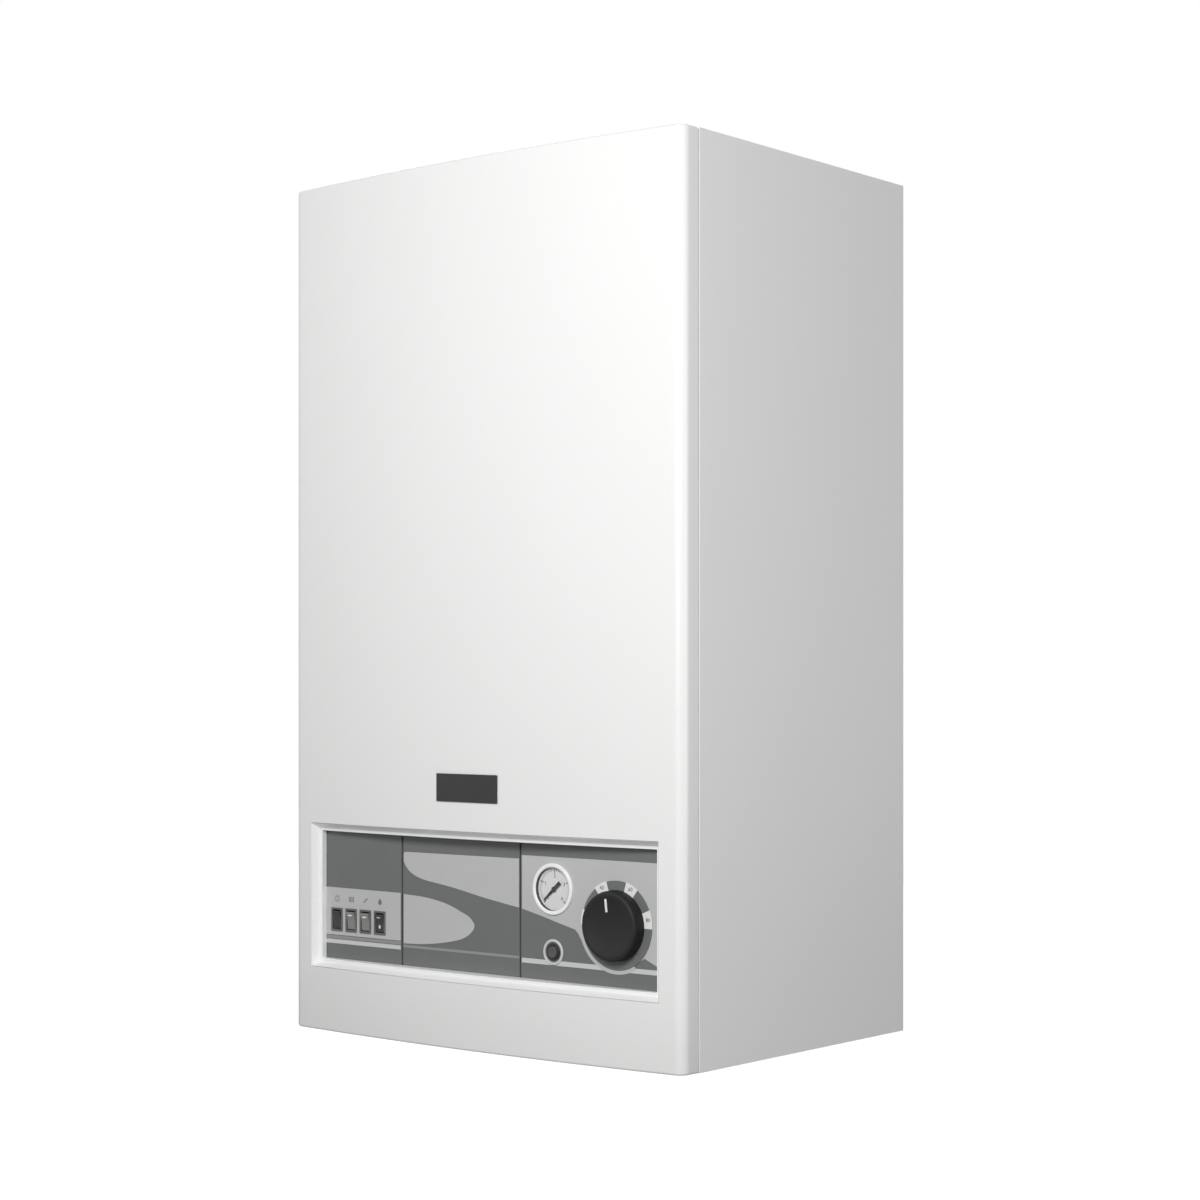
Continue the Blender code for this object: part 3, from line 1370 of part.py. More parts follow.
def build():
    """Draws every piece and sets the origin at the wall bracket."""
    for leftover in list(bpy.data.objects):
        bpy.data.objects.remove(leftover, do_unlink=True)
    white_paint = make_material("white_paint", (0.86, 0.86, 0.85), 0.0, 0.35)
    zinc = make_material("zinc_sheet", (0.55, 0.56, 0.57), 1.0, 0.42)
    bracket_zinc = make_material("bracket_zinc", (0.50, 0.51, 0.52), 1.0, 0.38)
    white_plastic = make_material("white_plastic", (0.84, 0.84, 0.83), 0.0, 0.40)
    badge_plastic = make_material("badge_plastic", (0.045, 0.045, 0.048), 0.0, 0.35)
    carrier_plastic = make_material("carrier_plastic", (0.05, 0.05, 0.052), 0.0, 0.55)
    module_plastic = make_material("module_plastic", (0.16, 0.165, 0.165), 0.0, 0.50)
    black_plastic = make_material("black_plastic", (0.03, 0.03, 0.03), 0.0, 0.40)
    rocker_dark = make_material("rocker_dark", (0.06, 0.06, 0.06), 0.0, 0.30)
    rocker_lens = make_material("rocker_lens", (0.30, 0.29, 0.28), 0.0, 0.22)
    dial_face = make_material("dial_face", (0.80, 0.80, 0.79), 0.0, 0.45)
    glass = make_material("gauge_glass", (0.90, 0.92, 0.92), 0.0, 0.05)
    grey_plastic = make_material("grey_plastic", (0.22, 0.22, 0.22), 0.0, 0.45)
    light_plastic = make_material("light_plastic", (0.50, 0.50, 0.50), 0.0, 0.45)
    cream_plastic = make_material("cream_plastic", (0.62, 0.59, 0.50), 0.0, 0.50)
    steel = make_material("tank_steel", (0.30, 0.31, 0.32), 1.0, 0.40)
    foam = make_material("insulation_foam", (0.08, 0.08, 0.085), 0.0, 0.90)
    brass = make_material("brass", (0.70, 0.52, 0.22), 1.0, 0.30)
    red_paint = make_material("red_paint", (0.50, 0.03, 0.03), 0.0, 0.40)
    rubber = make_material("membrane_rubber", (0.02, 0.02, 0.02), 0.0, 0.85)
    copper = make_material("copper", (0.78, 0.42, 0.28), 1.0, 0.28)
    cast_metal = make_material("cast_iron", (0.10, 0.10, 0.11), 0.6, 0.55)
    motor_paint = make_material("motor_paint", (0.07, 0.10, 0.13), 0.0, 0.45)
    red_plastic = make_material("red_plastic", (0.55, 0.04, 0.03), 0.0, 0.40)
    board_green = make_material("board_green", (0.03, 0.16, 0.07), 0.0, 0.50)

    build_front_cover(white_paint)
    build_window_bezel(white_plastic)
    build_badge(badge_plastic)
    build_casing(white_paint, zinc)
    build_panel(carrier_plastic, module_plastic)
    build_switches(black_plastic, (rocker_dark, rocker_lens, rocker_lens, rocker_dark))
    build_gauge(white_plastic, zinc, dial_face, black_plastic, glass)
    build_thermostat(black_plastic, grey_plastic, cream_plastic, zinc)
    build_limiter(cream_plastic, black_plastic, light_plastic, grey_plastic)
    build_exchanger(steel, foam, brass, steel, bracket_zinc, brass, black_plastic)
    build_vessel(red_paint, rubber, copper)
    build_pump(cast_metal, motor_paint, steel)
    build_pipes(copper)
    build_safety_valve(brass, red_plastic)
    build_drain_cock(brass, red_plastic)
    build_electrics(zinc, black_plastic, grey_plastic, cream_plastic, board_green)
    build_gland(grey_plastic)
    for piece in bpy.context.scene.collection.objects:
        piece.location.z -= bracket_z


build()
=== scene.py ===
"""Looks of a wall-hung electric boiler, built round its packed frame.

Every piece is made in metres in the frame's own place: the front looks along -Y, +Z is up, and
the origin is the middle of the wall bracket's rear face. Sizes that a user may change are in the
property groups; the places of the frame's own pieces are read from the frame.
"""

import math

import bmesh
import bpy
from mathutils import Matrix, Vector
from mathutils.bvhtree import BVHTree


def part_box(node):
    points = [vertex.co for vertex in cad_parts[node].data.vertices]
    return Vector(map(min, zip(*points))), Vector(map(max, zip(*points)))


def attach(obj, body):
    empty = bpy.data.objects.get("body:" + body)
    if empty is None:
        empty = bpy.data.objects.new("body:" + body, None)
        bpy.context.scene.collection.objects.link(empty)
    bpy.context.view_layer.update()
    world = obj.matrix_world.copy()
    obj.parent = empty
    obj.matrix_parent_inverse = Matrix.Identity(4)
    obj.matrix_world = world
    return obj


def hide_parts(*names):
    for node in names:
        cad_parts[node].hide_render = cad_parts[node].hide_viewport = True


bl_info = {
    "name": "Electric Boiler",
    "version": (1, 0, 0),
    "blender": (4, 5, 0),
    "location": "3D View > Sidebar > Boiler",
    "description": "Builds the casing, control panel and inner parts of a wall-hung electric boiler",
    "category": "Object",
}

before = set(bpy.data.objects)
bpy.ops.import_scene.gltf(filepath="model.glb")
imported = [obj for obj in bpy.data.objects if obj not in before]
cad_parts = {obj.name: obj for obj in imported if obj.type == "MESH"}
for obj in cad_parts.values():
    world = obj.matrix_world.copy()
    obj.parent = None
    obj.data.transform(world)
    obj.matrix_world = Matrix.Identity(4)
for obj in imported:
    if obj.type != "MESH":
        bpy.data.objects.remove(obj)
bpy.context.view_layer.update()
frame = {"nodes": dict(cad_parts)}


def middle_of(low, high):
    """Where a box's middle lies, across and upwards."""
    return (low.x + high.x) / 2, (low.z + high.z) / 2


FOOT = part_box("left_side_panel")[0].z
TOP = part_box("left_side_panel")[1].z
HALF_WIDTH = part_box("right_side_panel")[1].x
COVER_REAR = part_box("top_panel")[0].y
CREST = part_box("window_bezel")[0].y
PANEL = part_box("switch_module")[0].y
MODULE_LEFT, SEAM_LEFT = (corner.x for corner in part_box("switch_module"))
SEAM_RIGHT, MODULE_RIGHT = (corner.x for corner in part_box("dial_module"))
KNOB_LOW, KNOB_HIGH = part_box("thermostat_knob")
GAUGE_LOW, GAUGE_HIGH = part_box("gauge_bezel")
COLLAR_LOW, COLLAR_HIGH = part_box("reset_collar")
KNOB_X, KNOB_Z = middle_of(KNOB_LOW, KNOB_HIGH)
GAUGE_X, GAUGE_Z = middle_of(GAUGE_LOW, GAUGE_HIGH)
RESET_X, RESET_Z = middle_of(COLLAR_LOW, COLLAR_HIGH)

MM = 0.001
FIT = 0.0003
BADGE_THICKNESS = 0.0012
PRINT = 0.0001

# Properties


def length(name, text, default):
    """A length that a user may change."""
    return number(name, text, default, unit="LENGTH", subtype="DISTANCE", precision=5)


def number(name, text, default, **kind):
    """A number that a user may change."""
    return bpy.props.FloatProperty(name=name, description=text, default=default, **kind)


def spot(name, text, default):
    """A place that a user may change."""
    return bpy.props.FloatVectorProperty(
        name=name, description=text, default=default, subtype="XYZ", unit="LENGTH"
    )


def tone(name, text, default):
    """A colour that a user may change."""
    return bpy.props.FloatVectorProperty(
        name=name, description=text, default=default, size=3, subtype="COLOR", min=0.0, max=1.0
    )


class CasingSizes(bpy.types.PropertyGroup):
    """Sizes of the folded and bowed sheets."""

    sheet: length("Sheet", "Thickness of the casing sheet", 0.0012)
    edge_radius: length("Edge radius", "Rounding of the cover's upright edges", 0.0088)
    front_bow: length("Front bow", "How far the middle of the front stands ahead of its sides", 0.0095)
    rim_round: length("Rim rounding", "Rounding of the cover's top and bottom edges", 0.0020)
    seam: length("Seam", "Gap between the cover and the side sheets", 0.0003)
    fold: length("Fold radius", "Rounding of the side sheets' folds", 0.0018)
    side_flange: length("Side flange", "Width of the side sheets' inward folds", 0.0110)
    window_margin: length("Window margin", "From the casing's side to the window", 0.0217)
    window_base: length("Window base", "From the casing's foot to the window", 0.0525)
    window_height: length("Window height", "Height of the window", 0.1189)
    cover_return: length("Cover return", "Depth of the cover's straight sides", 0.0108)
    stud_radius: length("Stud radius", "Radius of the studs that hold the cover", 0.0025)
    stud_tip: length("Stud tip", "Slope at the studs' rear ends", 0.0008)
    stud_inset: length("Stud inset", "From the casing's side to the studs", 0.0065)
    stud_above_window: length("Stud above window", "From the window to the lower studs", 0.0200)
    stud_below_top: length("Stud below top", "From the casing's top to the upper studs", 0.0420)
    back_screw: length("Back screws", "Radius of the screws in the back plate", 0.0038)
    back_inset: length("Back screw inset", "From the back plate's sides to its screws", 0.0140)
    back_recess: length("Back recess", "From the wall to the back plate's rear face", 0.0125)
    base_screw: length("Base screws", "Radius of the screws in the bottom plate", 0.0036)
    base_inset: length("Base screw inset", "From the bottom plate's sides to its screws", 0.0120)
    screw_height: length("Screw height", "Height of the casing's screw heads", 0.0016)


class BezelSizes(bpy.types.PropertyGroup):
    """Sizes of the frame in the window."""

    slope_width: length("Slope width", "Width of the frame's sloping edge", 0.0036)
    slope_depth: length("Slope depth", "How far the slope drops behind the front", 0.0072)
    ring_width: length("Ring width", "Width of the flat ring", 0.0027)
    wall: length("Wall", "Thickness of the wall that runs back to the panel", 0.0015)
    flange: length("Flange", "Width of the flange behind the sheet", 0.0050)
    flange_thickness: length("Flange thickness", "Thickness of that flange", 0.0015)
    edge: length("Edge rounding", "Rounding of the frame's edges", 0.0004)


class PanelSizes(bpy.types.PropertyGroup):
    """Sizes on the control panel."""

    foil: length("Foil", "Thickness of the light inlays", 0.00025)
    plate_edge: length("Plate edge", "Rounding of the module plates", 0.0004)
    switch_rim: length("Switch rim", "How far the inlay reaches under a switch frame", 0.0006)
    sign_size: length("Sign size", "Height of the small signs over the switches", 0.0052)
    sign_height: length("Sign height", "From the casing's foot to the middle of the signs", 0.1087)
    badge_edge: length("Badge edge", "Rounding of the bare plate on the front", 0.0007)


class DialSizes(bpy.types.PropertyGroup):
    """Sizes of the gauge, the knob and the reset button."""

    knob_edge: length("Knob edge", "Rounding of the knob's face", 0.0016)
    knob_draft: length("Knob draft", "How much narrower the knob is in front", 0.0010)
    mark_length: length("Mark length", "Length of the knob's white mark", 0.0100)
    mark_width: length("Mark width", "Width of the knob's white mark", 0.0019)
    mark_inset: length("Mark inset", "From the knob's rim to its mark", 0.0035)
    mark_turn: number("Mark turn", "Turn of the knob's mark from upright, in degrees", -7.0)
    scale_radius: length("Scale radius", "Outer radius of the knob's scale", 0.0340)
    number_size: length("Number size", "Height of the dials' numbers", 0.0042)
    gauge_ticks: bpy.props.IntProperty(name="Gauge ticks", description="Marks on the gauge", default=41)
    gauge_lip: length("Gauge lip", "Width of the gauge's white ring", 0.0032)
    gauge_skirt: length("Gauge skirt", "Wall thickness of the ring behind its lip", 0.0013)
    gauge_edge: length("Gauge edge", "Rounding of the ring's outer edge", 0.0010)
    number_reach: length("Number reach", "From the gauge's middle to its numbers", 0.0102)
    collar_width: length("Collar width", "Width of the reset button's light ring", 0.0021)
    collar_bore: length("Collar bore", "Radius of the dish round the reset button", 0.0068)
    button_edge: length("Button edge", "Rounding of the reset button", 0.0006)


class InnerSizes(bpy.types.PropertyGroup):
    """Sizes of the fittings behind the cover."""

    board_lift: length("Board lift", "From the plate to the board's face", 0.0096)
    board_inset: length("Board inset", "From the board's edges to its parts", 0.0120)
    post_inset: length("Post inset", "From the board's edges to its fixing screws", 0.0080)
    relay_pitch: length("Relay pitch", "Spacing of the relays", 0.0230)
    relay_width: length("Relay width", "Width of a relay", 0.0160)
    relay_height: length("Relay height", "Height of a relay", 0.0280)
    relay_depth: length("Relay depth", "Depth of a relay", 0.0160)
    core_width: length("Core width", "Width of the transformer", 0.0360)
    core_height: length("Core height", "Height of the transformer", 0.0320)
    core_depth: length("Core depth", "Depth of the transformer", 0.0280)
    coil_inset: length("Coil inset", "From the core's sides to the coil", 0.0070)
    coil_rise: length("Coil rise", "How far the coil stands out of the core", 0.0030)
    shell: length("Shell", "Thickness of a part's case", 0.0004)
    plug_pitch: length("Plug pitch", "Spacing of the board's plugs", 0.0155)
    plug_inset: length("Plug inset", "From the board's side to the middle of its first plug", 0.0210)
    plug_below: length("Plug below", "From the board's top to its plugs", 0.0090)
    can_radius: length("Can radius", "Radius of a capacitor", 0.0062)
    can_height: length("Can height", "Height of a capacitor", 0.0173)
    screw_radius: length("Screw radius", "Radius of the inner screws", 0.0030)
    screw_height: length("Screw height", "Height of the inner screws", 0.0014)
    terminal_inset: length("Terminal inset", "From the block's ends to its first terminal", 0.0095)
    barrier: length("Barrier", "Thickness of the walls between terminals", 0.0013)
    well_inset: length("Well inset", "From the contactor's ends to its terminal wells", 0.0100)
    nut_reach: length("Nut reach", "From a pipe's middle to the corners of its nut", 0.0168)
    nut_height: length("Nut height", "Height of a pipe nut", 0.0130)
    pipe_radius: length("Pipe radius", "Radius of the main pipes", 0.0110)
    grommet_width: length("Grommet width", "Width of the rubber rings in the bottom plate", 0.0045)
    grommet_height: length("Grommet height", "Height of those rings", 0.0030)
    strap_width: length("Strap width", "Width of the straps round the insulation", 0.0080)
    strap_rise: length("Strap rise", "Thickness of the straps", 0.0009)
    weld_inset: length("Weld inset", "From the tank's ends to its weld beads", 0.0160)
    motor_radius: length("Motor radius", "Radius of the pump motor's body", 0.0400)
    motor_rib: length("Motor rib", "Thickness of the ribs round the pump's motor", 0.0024)
    motor_rib_rise: length("Motor rib rise", "How far those ribs stand out", 0.0014)
    motor_rib_pitch: length("Motor rib pitch", "Spacing of those ribs", 0.0100)
    motor_nose: length("Motor nose", "From the motor's front to its first rib", 0.0120)
    flange_back: length("Flange back", "From the motor's rear to its flange's face", 0.0080)
    plug_radius: length("Vent plug radius", "Radius of the pump's vent plug", 0.0085)
    plug_rise: length("Vent plug rise", "How far the vent plug stands out", 0.0030)


class Colours(bpy.types.PropertyGroup):
    """Colours of the finishes."""

    enamel: tone("Enamel", "White enamel of the casing", (0.86, 0.86, 0.855))
    bezel: tone("Bezel", "White plastic of the window frame", (0.93, 0.93, 0.925))
    panel_dark: tone("Panel dark", "Dark grey of the control panel", (0.150, 0.158, 0.158))
    panel_light: tone("Panel light", "Light grey inlays", (0.52, 0.52, 0.52))
    panel_line: tone("Panel line", "Thin lines on the panel", (0.30, 0.29, 0.28))
    seam_dark: tone("Seam dark", "Dark plastic behind the seams", (0.20, 0.205, 0.205))
    black: tone("Black", "Black plastic", (0.022, 0.022, 0.023))
    knob: tone("Knob", "Near-black of the knob", (0.016, 0.016, 0.016))
    rocker: tone("Rocker", "Dark rockers", (0.055, 0.055, 0.055))
    lens: tone("Lens", "Smoked rockers", (0.27, 0.26, 0.25))
    # This white is also used for the painted highlights on the rockers.
    mark: tone("Mark", "White marks", (0.82, 0.82, 0.80))
    # Lighter than the panel's light grey: partly the strips' own pale plastic, partly a painted highlight for
    # the light that the raised strips catch.
    panel_strip: tone("Panel strip", "Lightest strips of the panel", (0.62, 0.62, 0.62))
    dial: tone("Dial", "Face of the gauge", (0.80, 0.80, 0.79))
    # This dark is also used for the painted shade ring inside the gauge's lip.
    print: tone("Print", "Dark print on the dials", (0.05, 0.05, 0.05))
    button: tone("Button", "Grey of the reset button", (0.085, 0.083, 0.080))
    sign: tone("Sign", "Brown-grey print of the small signs", (0.17, 0.16, 0.15))
    frame: tone("Switch frame", "Dark grey frames of the switches", (0.120, 0.126, 0.126))


class StageSettings(bpy.types.PropertyGroup):
    """Camera, lamps and floor."""

    focal: number("Focal length", "Focal length on a 36 mm sensor", 73.02, unit="CAMERA")
    camera_turn: number("Camera turn", "Turn of the camera round the object", math.radians(39.33),
                        subtype="ANGLE")
    camera_place: spot("Camera place", "Where the camera stands", (1.2886, -1.7212, -0.3596))
    shift: number("Shift", "Upward shift of the frame, as a share of its width", 0.0617)
    side_shift: number("Side shift", "Sideways shift of the frame, as a share of its width", 0.0006)
    floor_drop: length("Floor drop", "From the casing's foot to the floor", 1.10)
    floor_reach: length("Floor reach", "From the floor's middle to its sides", 12.0)
    floor_glow: number("Floor glow", "How bright the floor is to the camera", 0.90)
    key_place: spot("Key place", "Where the main lamp hangs", (0.55, -1.60, 0.25))
    key_size: length("Key size", "Side of the main lamp", 0.5)
    fill_place: spot("Fill place", "Where the second lamp hangs", (1.9, -0.2, -0.2))
    fill_size: length("Fill size", "Side of the second lamp", 0.9)
    key: number("Key", "Power of the main lamp in watts", 19.1)
    fill: number("Fill", "Power of the second lamp in watts", 7.0)
    sky: number("Sky", "Strength of the even light", 0.20)


# Node helpers

SOCKETS = {"Geometry": "NodeSocketGeometry", "Material": "NodeSocketMaterial", "Colour": "NodeSocketColor"}


def feed(tree, target, source):
    """Links a socket to another or to several, or gives it a plain value."""
    if isinstance(source, list):
        for one in source:
            tree.links.new(one, target)
    elif isinstance(source, bpy.types.NodeSocket):
        tree.links.new(source, target)
    elif source is not None:
        target.default_value = source


def add_node(tree, kind, inputs=None, **settings):
    """A node with its settings and what its inputs get."""
    node = tree.nodes.new(kind)
    for key, value in settings.items():
        setattr(node, key, value)
    for key, value in (inputs or {}).items():
        feed(tree, node.inputs[key], value)
    return node


def new_group(name, kind, inputs, outputs):
    """An empty node group with named sockets: its tree, what comes in and what goes out."""
    tree = bpy.data.node_groups.new(name, kind)
    for label, default in inputs.items():
        plain = {tuple: "NodeSocketVector", int: "NodeSocketInt"}.get(type(default), "NodeSocketFloat")
        item = tree.interface.new_socket(label, in_out="INPUT", socket_type=SOCKETS.get(label, plain))
        if default is not None:
            item.default_value = default
    for label in outputs:
        tree.interface.new_socket(label, in_out="OUTPUT", socket_type=SOCKETS.get(label, "NodeSocketFloat"))
    return tree, add_node(tree, "NodeGroupInput").outputs, add_node(tree, "NodeGroupOutput").inputs


def maths(tree, operation, first, second=None, third=None):
    """A sum of one, two or three values."""
    node = add_node(tree, "ShaderNodeMath", operation=operation)
    for slot, value in zip(node.inputs, (first, second, third)):
        feed(tree, slot, value)
    return node.outputs[0]


def times(tree, value, share):
    """A value times a share."""
    return maths(tree, "MULTIPLY", value, share)


def vector(tree, **parts):
    """A vector from its parts."""
    return add_node(tree, "ShaderNodeCombineXYZ", parts).outputs[0]


def own_place(tree):
    """The piece's own coordinates."""
    return add_node(tree, "ShaderNodeTexCoord").outputs["Object"]


def noise(tree, scale, detail, roughness, stretch=None):
    """Noise on the piece's own coordinates."""
    place = own_place(tree)
    if stretch:
        place = add_node(tree, "ShaderNodeMapping", {"Vector": place, "Scale": stretch}).outputs["Vector"]
    return add_node(tree, "ShaderNodeTexNoise", {
        "Vector": place, "Scale": scale, "Detail": detail, "Roughness": roughness}).outputs["Fac"]


def swing(tree, field, change, base):
    """A value that follows a field to both sides of its base."""
    return maths(tree, "MULTIPLY_ADD", maths(tree, "SUBTRACT", field, 0.5), change, base)


# Shader groups

GREY = (0.5, 0.5, 0.5, 1.0)
DUST_TONE = (0.42, 0.40, 0.37, 1.0)
WHITE = (1.0, 1.0, 1.0, 1.0)


def make_mottle():
    """Slight change of colour over a surface."""
    tree, start, end = new_group("Mottle", "ShaderNodeTree",
                                 {"Colour": GREY, "Change": 0.05, "Scale": 20.0}, ("Colour",))
    factor = swing(tree, noise(tree, start["Scale"], 3.0, 0.55), start["Change"], 1.0)
    scaled = add_node(tree, "ShaderNodeVectorMath", {0: start["Colour"], "Scale": factor}, operation="SCALE")
    feed(tree, end["Colour"], scaled.outputs[0])


def make_drift():
    """Slight change of roughness over a surface."""
    tree, start, end = new_group("Roughness Drift", "ShaderNodeTree",
                                 {"Roughness": 0.4, "Change": 0.1, "Scale": 30.0}, ("Roughness",))
    field = noise(tree, start["Scale"], 4.0, 0.6)
    feed(tree, end["Roughness"], swing(tree, field, start["Change"], start["Roughness"]))


def make_spray():
    """Low waves of sprayed and baked enamel."""
    tree, start, end = new_group("Spray Waves", "ShaderNodeTree", {"Scale": 420.0}, ("Height",))
    waves = noise(tree, start["Scale"], 1.5, 0.4)
    fine = noise(tree, times(tree, start["Scale"], 4.0), 1.0, 0.5)
    feed(tree, end["Height"], maths(tree, "MULTIPLY_ADD", fine, 0.25, waves))


def make_grain():
    """Fine spark-eroded grain of moulded plastic."""
    tree, start, end = new_group("Moulded Grain", "ShaderNodeTree", {"Scale": 1800.0}, ("Height",))
    cells = add_node(tree, "ShaderNodeTexVoronoi", {"Vector": own_place(tree), "Scale": start["Scale"]},
                     feature="SMOOTH_F1")
    rough = noise(tree, times(tree, start["Scale"], 1.7), 2.0, 0.6)
    feed(tree, end["Height"], maths(tree, "MULTIPLY_ADD", rough, 0.6, cells.outputs["Distance"]))


def make_brush():
    """Long fine lines of rolled or drawn metal."""
    tree, start, end = new_group("Drawn Lines", "ShaderNodeTree",
                                 {"Scale": 300.0, "Roughness": 0.35, "Change": 0.2}, ("Height", "Roughness"))
    lines = noise(tree, start["Scale"], 3.0, 0.6, (1.0, 1.0, 0.04))
    feed(tree, end["Height"], lines)
    feed(tree, end["Roughness"], swing(tree, lines, start["Change"], start["Roughness"]))


def make_spangle():
    """Pale and dark crystals of hot-dipped zinc."""
    tree, start, end = new_group("Zinc Spangle", "ShaderNodeTree",
                                 {"Scale": 60.0, "Roughness": 0.35, "Change": 0.2}, ("Height", "Roughness"))
    cells = add_node(tree, "ShaderNodeTexVoronoi", {"Vector": own_place(tree), "Scale": start["Scale"]},
                     feature="F1")
    parts = add_node(tree, "ShaderNodeSeparateXYZ", {0: cells.outputs["Color"]}).outputs
    feed(tree, end["Roughness"], swing(tree, parts["X"], start["Change"], start["Roughness"]))
    feed(tree, end["Height"], cells.outputs["Distance"])


def make_cast():
    """Uneven skin of sand-cast metal, foam and rubber."""
    tree, start, end = new_group("Cast Skin", "ShaderNodeTree", {"Scale": 900.0}, ("Height",))
    coarse = noise(tree, start["Scale"], 4.0, 0.62)
    fine = noise(tree, times(tree, start["Scale"], 2.6), 2.0, 0.5)
    feed(tree, end["Height"], maths(tree, "MULTIPLY_ADD", fine, 0.4, coarse))


def make_dust():
    """Thin dust that lies on what faces up."""
    tree, start, end = new_group("Settled Dust", "ShaderNodeTree",
                                 {"Colour": GREY, "Roughness": 0.4, "Amount": 0.3}, ("Colour", "Roughness"))
    normal = add_node(tree, "ShaderNodeTexCoord").outputs["Normal"]
    parts = add_node(tree, "ShaderNodeSeparateXYZ", {0: normal}).outputs
    facing = maths(tree, "POWER", maths(tree, "MAXIMUM", parts["Z"], 0.0), 2.0)
    cover = times(tree, times(tree, facing, noise(tree, 90.0, 3.0, 0.6)), start["Amount"])
    mix = add_node(tree, "ShaderNodeMix", {"Factor": cover, 6: start["Colour"], 7: DUST_TONE},
                   data_type="RGBA")
    feed(tree, end["Colour"], mix.outputs[2])
    feed(tree, end["Roughness"], maths(tree, "MULTIPLY_ADD", cover, 0.6, start["Roughness"]))


def use_group(tree, name, **values):
    """What a shader group gives out for its own values."""
    return add_node(tree, "ShaderNodeGroup", values, node_tree=bpy.data.node_groups[name]).outputs


def new_finish(name, colour, roughness, change, mottle_scale, drift, relief=None, relief_scale=0.0,
               relief_depth=0.0, dusty=False, **constants):
    """A finish: colour and roughness that vary a little, and a relief from one of the groups."""
    material = bpy.data.materials.new(name)
    material.use_nodes = True
    tree = material.node_tree
    shader = tree.nodes["Principled BSDF"].inputs
    mottle = use_group(tree, "Mottle", Colour=(*colour, 1.0), Change=change, Scale=mottle_scale)
    shade, height = mottle["Colour"], None
    if relief in ("Drawn Lines", "Zinc Spangle"):
        lines = use_group(tree, relief, Scale=relief_scale, Roughness=roughness, Change=drift)
        gloss, height = lines["Roughness"], lines["Height"]
    else:
        gloss = use_group(tree, "Roughness Drift", Roughness=roughness, Change=drift, Scale=40.0)["Roughness"]
        if relief:
            height = use_group(tree, relief, Scale=relief_scale)["Height"]
    if dusty:
        dust = use_group(tree, "Settled Dust", Colour=shade, Roughness=gloss, Amount=0.5)
        shade, gloss = dust["Colour"], dust["Roughness"]
    feed(tree, shader["Base Color"], shade)
    feed(tree, shader["Roughness"], gloss)
    if height is not None:
        bump = add_node(tree, "ShaderNodeBump", {"Strength": 1.0, "Distance": relief_depth, "Height": height})
        feed(tree, shader["Normal"], bump.outputs["Normal"])
    for label, value in constants.items():
        shader[label].default_value = value
    material.diffuse_color = (*colour, 1.0)
    return material


def let_lamps_through(material):
    """Glass that throws no shadow on what lies behind it."""
    tree = material.node_tree
    clear = add_node(tree, "ShaderNodeBsdfTransparent")
    rays = add_node(tree, "ShaderNodeLightPath").outputs
    mix = add_node(tree, "ShaderNodeMixShader", {
        "Fac": maths(tree, "MAXIMUM", rays["Is Shadow Ray"], rays["Is Diffuse Ray"]),
        1: tree.nodes["Principled BSDF"].outputs["BSDF"], 2: clear.outputs["BSDF"],
    })
    feed(tree, tree.nodes["Material Output"].inputs["Surface"], mix.outputs["Shader"])


def finish(name):
    """A finish by name."""
    return bpy.data.materials[name]


# Mesh helpers


def new_object(name, data):
    """A new object in the scene."""
    piece = bpy.data.objects.new(name, data)
    bpy.context.scene.collection.objects.link(piece)
    return piece


def evaluated(piece):
    """A plain mesh of what a piece's modifiers or curve give."""
    graph = bpy.context.evaluated_depsgraph_get()
    return bpy.data.meshes.new_from_object(piece.evaluated_get(graph))


def smooth(mesh, sharp):
    """Smooth shading that keeps edges sharper than an angle in degrees."""
    mesh.shade_smooth()
    mesh.set_sharp_from_angle(angle=math.radians(sharp))


def face_outwards(mesh):
    """Turns the faces of a closed mesh outwards."""
    work = bmesh.new()
    work.from_mesh(mesh)
    bmesh.ops.recalc_face_normals(work, faces=work.faces)
    if work.calc_volume(signed=True) < 0:
        bmesh.ops.reverse_faces(work, faces=work.faces)
    work.to_mesh(mesh)
    work.free()


def paint(mesh, material):
    """Gives a mesh one finish."""
    mesh.materials.clear()
    mesh.materials.append(finish(material))


def new_mesh(name, points, faces=()):
    """A mesh from points and faces, or from loose points."""
    mesh = bpy.data.meshes.new(name)
    mesh.from_pydata([tuple(point) for point in points], [], faces)
    return mesh


def add_piece(name, points, faces, material, sharp=35.0):
    """One object from points and faces, its normals turned outwards."""
    mesh = new_mesh(name, points, faces)
    mesh.materials.append(finish(material))
    face_outwards(mesh)
    smooth(mesh, sharp)
    return new_object(name, mesh)


def soften(piece, width, segments=2, above=40):
    """Rounds the edges of a piece that are sharper than an angle in degrees."""
    modifier = piece.modifiers.new("edges", "BEVEL")
    modifier.width = width
    modifier.segments = segments
    modifier.limit_method = "ANGLE"
    modifier.angle_limit = math.radians(above)
    modifier.harden_normals = True
    modifier.use_clamp_overlap = True
    return piece


def settle(piece, body, *nodes, slot=None):
    """Lets a piece ride on a body and stand for nodes; the slot is not used."""
    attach(piece, body)
    if nodes:
        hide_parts(*nodes)
    return piece


def along(axis, u, v, height):
    """A point of an outline drawn across the given axis."""
    if axis == "X":
        return Vector((height, u, v))
    if axis == "Y":
        return Vector((u, height, v))
    return Vector((u, v, height))


def loop_faces(rows, size, closed=False):
    """The faces between rows of equal loops; the two ends are capped unless the row is closed."""
    faces = []
    for row in range(rows if closed else rows - 1):
        here, there = row * size, (row + 1) % rows * size
        for step in range(size):
            nxt = (step + 1) % size
            faces.append((here + step, here + nxt, there + nxt, there + step))
    if not closed:
        faces += [tuple(range(size)), tuple(range((rows - 1) * size, rows * size))]
    return faces


def loft(name, loops, material, closed=False):
    """Joins loops of points in order."""
    points = [point for loop in loops for point in loop]
    return add_piece(name, points, loop_faces(len(loops), len(loops[0]), closed), material)


def extrude(name, outline, axis, start, end, material):
    """A straight prism of an outline."""
    return loft(name, [[along(axis, u, v, height) for u, v in outline] for height in (start, end)], material)


